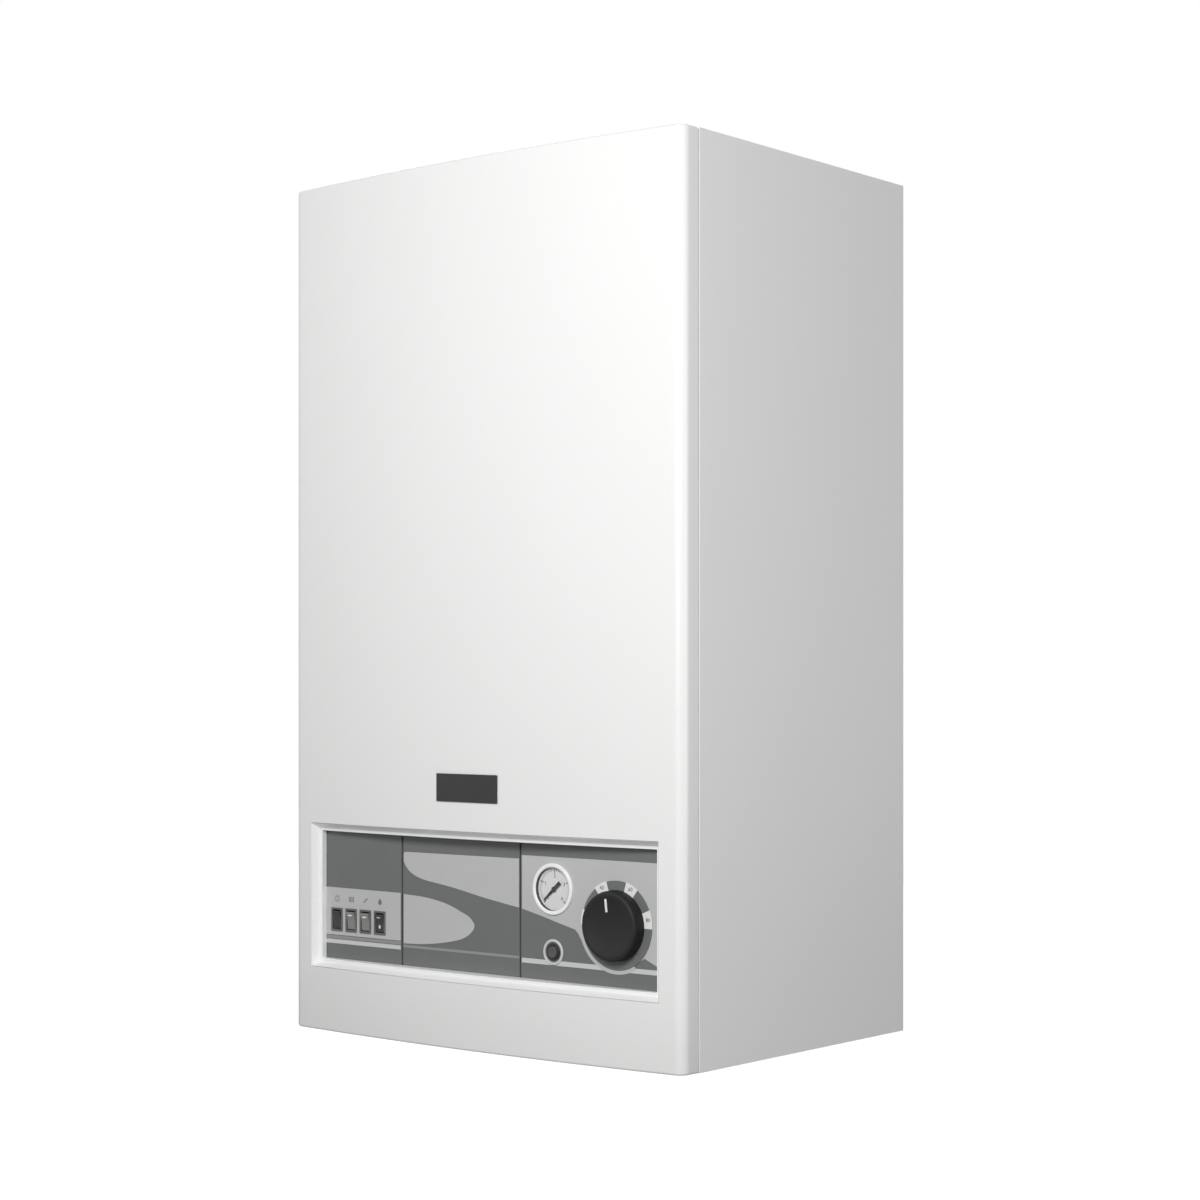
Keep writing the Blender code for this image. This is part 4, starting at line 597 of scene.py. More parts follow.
def rectangle(left, right, low, high):
    """The outline of a rectangle."""
    return [(left, low), (right, low), (right, high), (left, high)]


def block(name, low, high, material):
    """A block between two corners."""
    return extrude(name, rectangle(low[0], high[0], low[1], high[1]), "Z", low[2], high[2], material)


def lathe(name, profile, centre, axis, steps, material, sharp=35.0):
    """Turns an outline of (radius, height) points about an axis through centre."""
    points, rows, faces = [], [], []
    for radius, height in profile:
        if radius <= 0:
            points.append(centre + along(axis, 0, 0, height))
            rows.append([len(points) - 1] * steps)
            continue
        row = []
        for step in range(steps):
            angle = 2 * math.pi * step / steps
            points.append(centre + along(axis, radius * math.cos(angle), radius * math.sin(angle), height))
            row.append(len(points) - 1)
        rows.append(row)
    for index, row in enumerate(rows):
        other = rows[(index + 1) % len(rows)]
        for step in range(steps):
            nxt = (step + 1) % steps
            corners = []
            for corner in (row[step], row[nxt], other[nxt], other[step]):
                if corner not in corners:
                    corners.append(corner)
            if len(corners) > 2:
                faces.append(tuple(corners))
    return add_piece(name, points, faces, material, sharp)


def rounded_edge(outer, front, size, steps=8, first=0):
    """Profile points of a rounded front edge, from the face to the side."""
    edge = []
    for step in range(first, steps + 1):
        angle = math.pi / 2 * step / steps
        edge.append((outer - size + size * math.sin(angle), front + size * (1 - math.cos(angle))))
    return edge


def polar(x, z, reach, angle):
    """A place at a distance from a middle, at an angle in degrees from upright."""
    turn = math.radians(angle)
    return x + reach * math.sin(turn), z + reach * math.cos(turn)


def sector(x, z, near, far, start, span, steps):
    """The outline of a part of a flat ring round a place, its angles in degrees from upright."""
    angles = [start + span * step / steps for step in range(steps + 1)]
    outline = [polar(x, z, near, angle) for angle in angles]
    return outline + [polar(x, z, far, angle) for angle in reversed(angles)]


def oval(x, z, wide, high, start=0.0, span=2.0, steps=24):
    """Points round an oval or along a part of it, from a start and over a span in half turns."""
    angles = [math.pi * (start + span * step / steps) for step in range(steps if span == 2.0 else steps + 1)]
    return [(x + wide * math.cos(angle), z + high * math.sin(angle)) for angle in angles]


def lettering(name, text, size, place):
    """Raised characters on the casing that face the front, centred on a place."""
    curve = bpy.data.curves.new(name, "FONT")
    curve.body = text
    curve.size = size
    curve.extrude = PRINT / 2
    curve.align_x = "CENTER"
    curve.align_y = "CENTER"
    curve.resolution_u = 3
    draft = new_object(name, curve)
    mesh = evaluated(draft)
    bpy.data.objects.remove(draft, do_unlink=True)
    mesh.transform(Matrix.Translation(place) @ Matrix.Rotation(math.pi / 2, 4, "X"))
    paint(mesh, "dial print")
    return settle(new_object(name, mesh), "casing")


def sheet_outline(path, thickness):
    """The closed outline of a folded sheet whose outer side follows a path."""
    inner = []
    for index, point in enumerate(path):
        directions = []
        if index > 0:
            directions.append((path[index] - path[index - 1]).normalized())
        if index < len(path) - 1:
            directions.append((path[index + 1] - path[index]).normalized())
        sides = [Vector((-direction.y, direction.x)) for direction in directions]
        middle = sum(sides, Vector((0, 0))).normalized()
        inner.append(point + middle * thickness / middle.dot(sides[0]))
    return [tuple(point) for point in list(path) + inner[::-1]]


def rounded_path(corners, radius, steps):
    """A path whose turns are rounded."""
    path = [corners[0]]
    for before, corner, after in zip(corners, corners[1:], corners[2:]):
        into, out = (corner - before).normalized(), (after - corner).normalized()
        turn = into.angle(out)
        reach = min(radius * math.tan(turn / 2), (corner - before).length / 2, (after - corner).length / 2)
        start, end = corner - into * reach, corner + out * reach
        for step in range(steps + 1):
            share = step / steps
            path.append(start * (1 - share) ** 2 + corner * 2 * share * (1 - share) + end * share ** 2)
    path.append(corners[-1])
    return path


def through_points(points, steps=6):
    """A smooth open line through points."""
    line = []
    for index in range(len(points) - 1):
        before = Vector(points[max(index - 1, 0)])
        start, end = Vector(points[index]), Vector(points[index + 1])
        after = Vector(points[min(index + 2, len(points) - 1)])
        for step in range(steps):
            t = step / steps
            line.append(tuple(
                0.5 * ((2 * start) + (end - before) * t + (2 * before - 5 * start + 4 * end - after) * t ** 2
                       + (3 * start - before - 3 * end + after) * t ** 3)
            ))
    line.append(tuple(points[-1]))
    return line


def carve(piece, tool):
    """Takes a tool's shape out of a piece."""
    modifier = piece.modifiers.new("cut", "BOOLEAN")
    modifier.operation = "DIFFERENCE"
    modifier.solver = "EXACT"
    modifier.object = tool
    mesh, old = evaluated(piece), piece.data
    piece.modifiers.clear()
    piece.data = mesh
    bpy.data.meshes.remove(old)
    bpy.data.objects.remove(tool, do_unlink=True)
    while len(mesh.materials) > 1:
        mesh.materials.pop()
    smooth(mesh, 35)
    return piece


def middle(low, high, axis):
    """The line through a box's middle along an axis, as a point with nothing along it."""
    centre = (low + high) / 2
    setattr(centre, axis, 0)
    return centre


# Geometry node trees

SCREW_SIDES = 20


def grow(name, tree, body, material, inputs, base=None, nodes=(), slot=None):
    """Runs a geometry node tree and keeps its result as a plain mesh."""
    mesh = base or bpy.data.meshes.new(name)
    piece = new_object(name, mesh)
    modifier = piece.modifiers.new(name, "NODES")
    modifier.node_group = bpy.data.node_groups[tree]
    values = dict(inputs, Material=finish(material))
    for item in modifier.node_group.interface.items_tree:
        if item.item_type == "SOCKET" and item.in_out == "INPUT" and item.name in values:
            modifier[item.identifier] = values[item.name]
    result = evaluated(piece)
    piece.modifiers.clear()
    piece.data = result
    result.name = name
    bpy.data.meshes.remove(mesh)
    return settle(piece, body, *nodes, slot=slot)


def end_tree(tree, start, end, geometry):
    """Real meshes with their material, as every tree here ends."""
    real = add_node(tree, "GeometryNodeRealizeInstances", {0: geometry})
    painted = add_node(tree, "GeometryNodeSetMaterial", {
        "Geometry": real.outputs[0], "Material": start["Material"]})
    feed(tree, end["Geometry"], painted.outputs[0])


def cube(tree, size):
    """A block of a size."""
    return add_node(tree, "GeometryNodeMeshCube", {"Size": size}).outputs["Mesh"]


def rotation(tree, angles):
    """A turn by three angles."""
    return add_node(tree, "FunctionNodeEulerToRotation", {0: angles}).outputs[0]


def copies(tree, points, instance, turn=None):
    """A copy of a mesh on every point."""
    return add_node(tree, "GeometryNodeInstanceOnPoints", {
        "Points": points, "Instance": instance, "Rotation": turn}).outputs[0]


def make_marks_tree():
    """Marks set like the hands of a clock round a centre, facing the front."""
    tree, start, end = new_group("Radial Marks", "GeometryNodeTree", {
        "Geometry": None, "Count": 12, "Start": 0.0, "Step": 0.5, "Inner Radius": 0.01, "Outer Radius": 0.012,
        "Width": 0.0005, "Depth": 0.0003, "Centre": (0.0, 0.0, 0.0), "Material": None}, ("Geometry",))
    inner, outer = start["Inner Radius"], start["Outer Radius"]
    line = add_node(tree, "GeometryNodeMeshLine", {"Count": start["Count"]})
    index = add_node(tree, "GeometryNodeInputIndex").outputs[0]
    angle = maths(tree, "MULTIPLY_ADD", index, start["Step"], start["Start"])
    reach = times(tree, maths(tree, "ADD", inner, outer), 0.5)
    place = vector(tree, X=times(tree, reach, maths(tree, "SINE", angle)),
                   Z=times(tree, reach, maths(tree, "COSINE", angle)))
    shifted = add_node(tree, "ShaderNodeVectorMath", {0: place, 1: start["Centre"]}, operation="ADD")
    moved = add_node(tree, "GeometryNodeSetPosition", {
        "Geometry": line.outputs["Mesh"], "Position": shifted.outputs[0]})
    size = vector(tree, X=start["Width"], Y=start["Depth"], Z=maths(tree, "SUBTRACT", outer, inner))
    turn = rotation(tree, vector(tree, Y=angle))
    end_tree(tree, start, end, copies(tree, moved.outputs[0], cube(tree, size), turn))


def make_row_tree():
    """Blocks in a straight row, for pins, plugs, walls and terminals."""
    tree, start, end = new_group("Block Row", "GeometryNodeTree", {
        "Geometry": None, "Count": 4, "First": (0.0, 0.0, 0.0), "Step": (0.01, 0.0, 0.0),
        "Size": (0.005, 0.005, 0.005), "Material": None}, ("Geometry",))
    line = add_node(tree, "GeometryNodeMeshLine", {
        "Count": start["Count"], "Start Location": start["First"], "Offset": start["Step"]}, mode="OFFSET")
    end_tree(tree, start, end, copies(tree, line.outputs["Mesh"], cube(tree, start["Size"])))


def make_screw_tree():
    """Round screw heads with a cross recess on the points of the base mesh."""
    tree, start, end = new_group("Cross Screws", "GeometryNodeTree", {
        "Geometry": None, "Radius": 0.004, "Height": 0.0018, "Turn": (0.0, 0.0, 0.0), "Seed": 3,
        "Material": None}, ("Geometry",))
    radius, height = start["Radius"], start["Height"]

    def raised(mesh, share):
        return add_node(tree, "GeometryNodeTransform", {
            "Geometry": mesh, "Translation": vector(tree, Z=times(tree, height, share))}).outputs[0]

    head = add_node(tree, "GeometryNodeMeshCylinder", {
        "Vertices": SCREW_SIDES, "Radius": radius, "Depth": height})
    dome = add_node(tree, "GeometryNodeMeshCone", {
        "Vertices": SCREW_SIDES, "Radius Bottom": radius, "Radius Top": times(tree, radius, 0.72),
        "Depth": times(tree, height, 0.4)})
    recess = []
    for wide, narrow in (("X", "Y"), ("Y", "X")):
        sides = {wide: times(tree, radius, 1.1), narrow: times(tree, radius, 0.24)}
        recess.append(raised(cube(tree, vector(tree, Z=times(tree, height, 1.1), **sides)), 0.85))
    whole = add_node(tree, "GeometryNodeMeshBoolean", {
        "Mesh 2": [head.outputs["Mesh"], raised(dome.outputs["Mesh"], 0.5)]}, operation="UNION")
    carved = add_node(tree, "GeometryNodeMeshBoolean", {
        "Mesh 1": whole.outputs["Mesh"], "Mesh 2": recess}, operation="DIFFERENCE")
    angle = add_node(tree, "FunctionNodeRandomValue", {
        "Seed": start["Seed"], 3: math.pi / 2}, data_type="FLOAT").outputs[1]
    turn = add_node(tree, "FunctionNodeRotateRotation", {
        0: rotation(tree, start["Turn"]), 1: rotation(tree, vector(tree, Z=angle))}, rotation_space="LOCAL")
    end_tree(tree, start, end, copies(tree, start["Geometry"], carved.outputs["Mesh"], turn.outputs[0]))


def make_bow_tree():
    """Bows a flat base: each point moves forward by its place across and its own share."""
    tree, start, end = new_group("Bowed Front", "GeometryNodeTree", {
        "Geometry": None, "Reach": 0.2, "Depth": 0.01, "Material": None}, ("Geometry",))
    place = add_node(tree, "GeometryNodeInputPosition").outputs[0]
    across = add_node(tree, "ShaderNodeSeparateXYZ", {0: place}).outputs["X"]
    share = maths(tree, "DIVIDE", across, start["Reach"])
    fall = maths(tree, "SUBTRACT", 1.0, times(tree, share, share))
    amount = times(tree, fall, times(tree, start["Depth"], -1.0))
    follow = add_node(tree, "GeometryNodeInputNamedAttribute", {"Name": "follow"}, data_type="FLOAT")
    offset = vector(tree, Y=times(tree, amount, follow.outputs[0]))
    moved = add_node(tree, "GeometryNodeSetPosition", {"Geometry": start["Geometry"], "Offset": offset})
    end_tree(tree, start, end, moved.outputs[0])


def radial_marks(name, body, material, centre, inner, outer, width, depth, count=1, step=0.0, start=0.0):
    """Marks round a centre, facing the front."""
    grow(name, "Radial Marks", body, material, {
        "Count": count, "Start": start, "Step": step, "Inner Radius": inner, "Outer Radius": outer,
        "Width": width, "Depth": depth, "Centre": centre})


def block_row(name, material, count, first, size, pitch, rise=0.0):
    """Blocks of one size in a row on the casing."""
    grow(name, "Block Row", "casing", material, {
        "Count": count, "First": first, "Step": (pitch, 0.0, rise), "Size": size})


def screws(name, places, radius, height, seed, turn=math.pi / 2):
    """Cross screws at places; they face the front unless they are turned otherwise about X."""
    grow(name, "Cross Screws", "casing", "screw steel",
         {"Radius": radius, "Height": height, "Turn": (turn, 0.0, 0.0), "Seed": seed}, new_mesh(name, places))


def grid(xs, y, zs):
    """Places on one face, at all of these distances across and upwards."""
    return [(x, y, z) for x in xs for z in zs]


def inner_screws(name, places, seed):
    """Small screws behind the cover that face the front and lie on their places."""
    inner = bpy.context.scene.boiler_inner
    raised = [(x, y - inner.screw_height / 2, z) for x, y, z in places]
    screws(name, raised, inner.screw_radius, inner.screw_height, seed)


# The cover's shape


def cover_sweep(casing):
    """The angle through which the cover's upright edges turn."""
    return math.pi / 2 - math.atan(2 * casing.front_bow / (HALF_WIDTH - casing.edge_radius))


def corner_line(casing):
    """Where the cover's side meets its rounded edge."""
    return CREST + casing.edge_radius + casing.front_bow


def bow_values(casing):
    """The bow's half width, how far its middle stands out, and the line that it stands out from."""
    sweep = cover_sweep(casing)
    rise = casing.edge_radius * math.sin(sweep)
    reach = HALF_WIDTH - casing.edge_radius * (1 - math.cos(sweep))
    return reach, casing.front_bow + casing.edge_radius - rise, corner_line(casing) - rise


def at(height):
    """A height above the casing's foot, in the frame's place."""
    return FOOT + height


def window_edges(casing):
    """The lower and the upper edge of the window."""
    return at(casing.window_base), at(casing.window_base + casing.window_height)


def stud_places(casing):
    """How far to the sides the cover's studs stand, and at which heights."""
    low = casing.window_base + casing.window_height + casing.stud_above_window
    return HALF_WIDTH - casing.stud_inset, (at(low), TOP - casing.stud_below_top)


def bowed(name, points, follow, faces, material, node, slot):
    """A closed base mesh on the cover, bowed by the node tree and kept as one piece."""
    mesh = new_mesh(name, points, faces)
    face_outwards(mesh)
    mesh.attributes.new("follow", "FLOAT", "POINT").data.foreach_set("value", follow)
    reach, depth, _ = bow_values(bpy.context.scene.boiler_casing)
    piece = grow(name, "Bowed Front", "front_cover", material, {"Reach": reach, "Depth": depth}, mesh,
                 (node,), slot)
    smooth(piece.data, 28)
    return piece


# Pieces made from the frame's solids


def refined(node, body, material, width, slot, segments=2):
    """A copy of a solid with its facets joined, its edges rounded and its own finish."""
    mesh = frame["nodes"][node].data.copy()
    work = bmesh.new()
    work.from_mesh(mesh)
    bmesh.ops.remove_doubles(work, verts=work.verts, dist=0.000002)
    bmesh.ops.dissolve_limit(work, angle_limit=math.radians(1.0), verts=work.verts, edges=work.edges)
    bmesh.ops.recalc_face_normals(work, faces=work.faces)
    work.to_mesh(mesh)
    work.free()
    paint(mesh, material)
    smooth(mesh, 32)
    piece = new_object(node + "_look", mesh)
    if width:
        soften(piece, width, segments)
    return settle(piece, body, node, slot=slot)


def dress(table):
    """Refines each solid of a table of names, finishes, edge widths and slots."""
    for node, material, width, slot in table:
        refined(node, node if node in MOVING else "casing", material, width, slot)


def front_of(node, x, z):
    """How far forward a solid reaches at a place on the front."""
    mesh = frame["nodes"][node].data
    surface = BVHTree.FromPolygons([point.co for point in mesh.vertices],
                                   [tuple(polygon.vertices) for polygon in mesh.polygons])
    place = surface.ray_cast(Vector((x, -1.0, z)), Vector((0, 1, 0)))[0]
    if place is None:
        raise ValueError(node + " has no surface there")
    return place.y


def inlay(name, outline, material, lift=1.0, openings=()):
    """A thin raised area on the panel with its openings.

    The outline's points are in millimetres, across and above the casing's foot.
    """
    foil = bpy.context.scene.boiler_panel.foil
    places = [(x * MM, at(z * MM)) for x, z in outline]
    piece = extrude(name, places, "Y", PANEL + foil / 4, PANEL - foil * lift, material)
    for low, high in openings:
        corners = rectangle(low.x, high.x, low.z, high.z)
        carve(piece, extrude("opening", corners, "Y", PANEL + foil, PANEL - foil * 2, material))
    return settle(piece, "casing")


def turned(name, profile, place, steps, material, body="casing", node=None, slot=None, sharp=35.0):
    """A round piece about an axis that runs from front to back."""
    piece = lathe(name, profile, Vector((place[0], 0, place[1])), "Y", steps, material, sharp)
    return settle(piece, body, *([node] if node else []), slot=slot)


def bore(piece, place, radius, y, depth, steps):
    """Cuts a round hole into a piece from the front."""
    profile = [(0, y - depth), (radius, y - depth), (radius, y + depth), (0, y + depth)]
    centre = Vector((place[0], 0, place[1]))
    carve(piece, lathe("hole", profile, centre, "Y", steps, piece.data.materials[0].name))


def ring(name, centre, axis, inner_radius, outer_radius, start, end, material, steps=64):
    """A plain ring on the casing about an axis, with its outer edges taken off."""
    edge = min(outer_radius - inner_radius, end - start) / 4
    profile = [(inner_radius, start), (outer_radius - edge, start), (outer_radius, start + edge),
               (outer_radius, end - edge), (outer_radius - edge, end), (inner_radius, end)]
    return settle(lathe(name, profile, centre, axis, steps, material), "casing")


def case(name, low, high, material, rounding=0.0006, segments=2):
    """A softened block on the casing between two corners."""
    return settle(soften(block(name, low, high, material), rounding, segments), "casing")


def corners_from(origin, offsets):
    """Two corners that are measured from a place."""
    return [tuple(part + shift for part, shift in zip(origin, offset)) for offset in offsets]


# Tables: a finish is its colour, roughness, change of colour and its scale, change of roughness,
# relief with its scale and depth, and what else it sets on the shader.

SPRAY, GRAIN, LINES = "Spray Waves", "Moulded Grain", "Drawn Lines"
SPANGLE, CAST = "Zinc Spangle", "Cast Skin"
METAL = {"Metallic": 1.0}
OLD_METAL = {"Metallic": 1.0, "dusty": True}
FINISHES = (
    ("white enamel", "enamel", 0.30, 0.02, 9.0, 0.10, SPRAY, 520.0, 0.000006),
    ("white bezel", "bezel", 0.36, 0.02, 30.0, 0.10, GRAIN, 2600.0, 0.000004),
    ("badge black", "black", 0.22, 0.10, 60.0, 0.08, GRAIN, 3000.0, 0.000002),
    ("panel dark", "panel_dark", 0.46, 0.10, 70.0, 0.14, GRAIN, 2200.0, 0.00001),
    ("panel light", "panel_light", 0.42, 0.05, 60.0, 0.12, GRAIN, 2400.0, 0.000008),
    ("panel strip", "panel_strip", 0.38, 0.05, 60.0, 0.12, GRAIN, 2400.0, 0.000006),
    ("panel line", "panel_line", 0.42, 0.05, 60.0, 0.12, GRAIN, 2400.0, 0.000006),
    ("carrier dark", "seam_dark", 0.60, 0.15, 50.0, 0.12, GRAIN, 1500.0, 0.00002),
    ("black plastic", "black", 0.36, 0.12, 60.0, 0.12, GRAIN, 2000.0, 0.00001),
    ("knob black", "knob", 0.58, 0.12, 60.0, 0.12, GRAIN, 1800.0, 0.000012, {"Specular IOR Level": 0.28}),
    ("switch frame", "frame", 0.42, 0.10, 60.0, 0.12, GRAIN, 2200.0, 0.00001),
    ("sign print", "sign", 0.45, 0.05, 60.0, 0.10),
    ("rocker dark", "rocker", 0.30, 0.10, 80.0, 0.10, GRAIN, 2600.0, 0.000006),
    ("rocker lens", "lens", 0.16, 0.06, 90.0, 0.06, {"Coat Weight": 0.6, "Coat Roughness": 0.05}),
    ("white mark", "mark", 0.45, 0.04, 90.0, 0.10),
    ("dial white", "dial", 0.50, 0.02, 60.0, 0.08),
    ("dial print", "print", 0.50, 0.05, 90.0, 0.08),
    ("pointer black", "black", 0.40, 0.05, 90.0, 0.08),
    ("grey button", "button", 0.40, 0.06, 70.0, 0.12, GRAIN, 2400.0, 0.000008),
    ("grey plastic", (0.20, 0.20, 0.20), 0.48, 0.10, 50.0, 0.12, GRAIN, 1800.0, 0.00001),
    ("cream plastic", (0.62, 0.58, 0.48), 0.46, 0.08, 50.0, 0.12, GRAIN, 1800.0, 0.00001),
    ("red plastic", (0.52, 0.035, 0.03), 0.36, 0.10, 60.0, 0.12, GRAIN, 1800.0, 0.00001),
    ("board green", (0.02, 0.15, 0.06), 0.34, 0.14, 120.0, 0.12, {"Coat Weight": 0.3}),
    ("relay blue", (0.03, 0.09, 0.26), 0.38, 0.08, 60.0, 0.10, GRAIN, 1800.0, 0.00001),
    ("coil yellow", (0.55, 0.38, 0.10), 0.46, 0.10, 90.0, 0.12, GRAIN, 2000.0, 0.000008),
    ("core steel", (0.30, 0.30, 0.31), 0.46, 0.12, 60.0, 0.16, LINES, 1400.0, 0.00001, {"Metallic": 0.9}),
    ("zinc sheet", (0.60, 0.61, 0.62), 0.36, 0.12, 45.0, 0.14, SPANGLE, 125.0, 0.000004, METAL),
    ("bracket zinc", (0.55, 0.56, 0.57), 0.34, 0.12, 60.0, 0.14, SPANGLE, 150.0, 0.000004, METAL),
    ("screw steel", (0.62, 0.62, 0.60), 0.28, 0.10, 200.0, 0.12, LINES, 900.0, 0.000002, METAL),
    ("tank steel", (0.42, 0.43, 0.44), 0.34, 0.14, 30.0, 0.22, LINES, 340.0, 0.000006, OLD_METAL),
    ("brass", (0.74, 0.56, 0.26), 0.28, 0.14, 70.0, 0.18, LINES, 600.0, 0.000004, OLD_METAL),
    ("copper", (0.80, 0.42, 0.28), 0.28, 0.20, 40.0, 0.20, LINES, 420.0, 0.000004, OLD_METAL),
    ("cast iron", (0.10, 0.10, 0.105), 0.62, 0.20, 60.0, 0.14, CAST, 900.0, 0.00006,
     {"Metallic": 0.3, "dusty": True}),
    ("motor paint", (0.035, 0.075, 0.11), 0.42, 0.10, 40.0, 0.12, CAST, 1300.0, 0.00002, {"dusty": True}),
    ("red paint", (0.46, 0.022, 0.02), 0.34, 0.10, 25.0, 0.12, SPRAY, 500.0, 0.00001, {"dusty": True}),
    ("foam", (0.050, 0.050, 0.054), 0.92, 0.35, 220.0, 0.08, CAST, 520.0, 0.00016),
    ("rubber", (0.02, 0.02, 0.02), 0.80, 0.15, 80.0, 0.10, CAST, 900.0, 0.00002),
    ("gauge glass", (0.97, 0.98, 0.98), 0.03, 0.01, 40.0, 0.02, {"Transmission Weight": 1.0, "IOR": 1.46}),
)
INNER_PIECES = (
    ("top_panel", "white enamel", 0.0003, "white_paint"),
    ("bottom_plate", "zinc sheet", 0.0003, "zinc_sheet"),
    ("back_plate", "zinc sheet", 0.0003, "zinc_sheet"),
    ("wall_bracket", "bracket zinc", 0.0003, "zinc_sheet"),
    ("panel_carrier", "carrier dark", 0.0004, "carrier_plastic"),
    ("electrics_plate", "zinc sheet", 0.0003, "zinc_sheet"),
    ("exchanger_bracket", "bracket zinc", 0.0003, "zinc_sheet"),
    ("gauge_case", "zinc sheet", 0.0005, "zinc_sheet"),
    ("thermostat_body", "cream plastic", 0.0006, "cream_plastic"),
    ("limiter_body", "cream plastic", 0.0006, "cream_plastic"),
)
WATER_PIECES = (
    ("heat_exchanger", "tank steel", 0.0006, "tank_steel"),
    ("exchanger_insulation", "foam", 0.0015, "insulation_foam"),
    ("immersion_heater", "brass", 0.0005, "brass"), ("air_vent", "brass", 0.0004, "brass"),
    ("air_vent_cap", "black plastic", 0.0004, "black_plastic"),
    ("vessel_rear_shell", "red paint", 0.0004, "red_paint"),
    ("vessel_front_shell", "red paint", 0.0004, "red_paint"),
    ("vessel_membrane", "rubber", 0, "membrane_rubber"), ("vessel_hose", "copper", 0.0003, "copper"),
    ("pump_volute", "cast iron", 0.0012, "cast_iron"), ("pump_motor", "motor paint", 0.0015, "motor_paint"),
    ("pump_rotor", "tank steel", 0.0003, "tank_steel"), ("return_pipe", "copper", 0.0003, "copper"),
    ("pump_pipe", "copper", 0.0003, "copper"), ("flow_pipe", "copper", 0.0003, "copper"),
    ("safety_valve", "brass", 0.0005, "brass"), ("safety_valve_cap", "red plastic", 0.0006, "red_plastic"),
    ("drain_cock", "brass", 0.0005, "brass"), ("drain_cock_lever", "red plastic", 0.0006, "red_plastic"),
)
ELECTRIC_PIECES = (
    ("contactor", "grey plastic", 0.0006, "black_plastic"),
    ("contactor_armature", "cream plastic", 0.0004, "grey_plastic"),
    ("terminal_block", "cream plastic", 0.0005, "cream_plastic"),
    ("control_board", "board green", 0.0002, "board_green"),
    ("cable_gland", "grey plastic", 0.0005, "grey_plastic"),
)
MOVING = ("air_vent_cap", "pump_rotor", "safety_valve_cap", "drain_cock_lever", "contactor_armature")

# Outlines on the panel, in millimetres across and above the casing's foot.
FLAP_UPPER = ((20, 115.6), (-5, 119.6), (-25, 123.4), (-45, 126.6), (-55, 127.9), (-65, 129.4), (-73, 131.5),
              (-80, 134.6), (-85, 138.8))
FLAP_LEAF = ((-70, 77.2), (-50, 79.2), (-30, 82.8), (-20, 86.2), (-13.5, 90.6), (-10.7, 95.0), (-12.3, 99.0),
             (-17.5, 103.0), (-25, 106.0), (-34, 109.4), (-45, 112.4), (-65, 115.4))
DIAL_SLOPE = ((60, 108.0), (80, 103.0), (93.5, 99.8), (96.6, 97.0))
DIAL_CURVE = ((96.6, 97.0), (99.5, 92.6), (106, 85.8), (115, 79.0), (126, 74.4))
DIAL_FOOT = ((147, 74.4), (150, 75.5), (161, 82.5), (171, 78.2))
SWITCH_LINE, SWITCH_STRIP = (75.2, 77.8), (71.2, 74.6)
FLAP_LINE, DIAL_STRIP = (73.4, 75.4), (70.7, 74.4)
BAND_INSET, BAND_REACH, BAND_START, BAND_SPAN = 0.4, 3.0, 282, -132
AREA_GAP, LINE_GAP, FLAP_GAP, LEAF_GAP = 0.6, 0.4, 0.5, 0.4
UPPER_GAP, CORNER_GAP = 0.3, 1.6

# Heights at which the light areas meet the edges of their plates.
PAD_FOOT, PAD_INNER, PAD_OUTER = 78.4, 117.3, 117.8
UPPER_START, UPPER_END, UPPER_SIDE, UPPER_CORNER, UPPER_TOP = 113.2, 143.5, 149.6, 151.0, 151.4
LEAF_START, LEAF_END = 76.6, 116.6
DIAL_START, DIAL_SIDE, DIAL_TOP = 112.6, 73.6, 154.3

# How far lines, strips, signs and the band stand out of the panel, in thicknesses of their foil.
LINE_LIFT, STRIP_LIFT, SIGN_LIFT, BAND_LIFT = 0.6, 1.3, 1.5, 1.6

# Room round the gauge and round the other dials, and the depth of the holes for them.
GAUGE_ROOM, DIAL_ROOM, HOLE_DEPTH = 0.001, 0.0005, 0.01

# Steps round the turned pieces.
KNOB_STEPS, GAUGE_STEPS, COLLAR_STEPS, BUTTON_STEPS, STUD_STEPS = 128, 96, 72, 48, 20

# Painted highlights high on rockers 2, 3 and 4, which stand for the light on their upper faces, and one white
# printed mark low on the fourth: a rocker's number, and the height over its middle, width and height.
ROCKER_HIGHLIGHTS_AND_MARK = ((2, 0.0046, 0.0048, 0.0018), (3, 0.0042, 0.0048, 0.0020), (4, 0.0046, 0.0044, 0.0007),
                (4, -0.0030, 0.0020, 0.0030))

# The gauge's first mark and the turn to its last one, in degrees from upright, its last number, and
# its ticks' inner and outer radius and width.
GAUGE_START, GAUGE_SWEEP = -135, 270
LAST_NUMBER = 4
SHORT_TICKS = (0.0136, 0.0152, 0.00032)
LONG_TICKS = (0.0124, 0.0154, 0.00075)

# The scale's numbers, where each field's middle lies and how wide it is, in degrees from upright.
SCALE_FIELDS = (("20", -82, 20), ("40", -27, 21), ("60", 26, 20), ("80", 79, 24))

# Profiles: a distance from the axis or from the rim, and one in front of or behind a face.
GAUGE_LIP = ((0, 0.0007), (0.0002, 0.0003), (0.0007, 0))
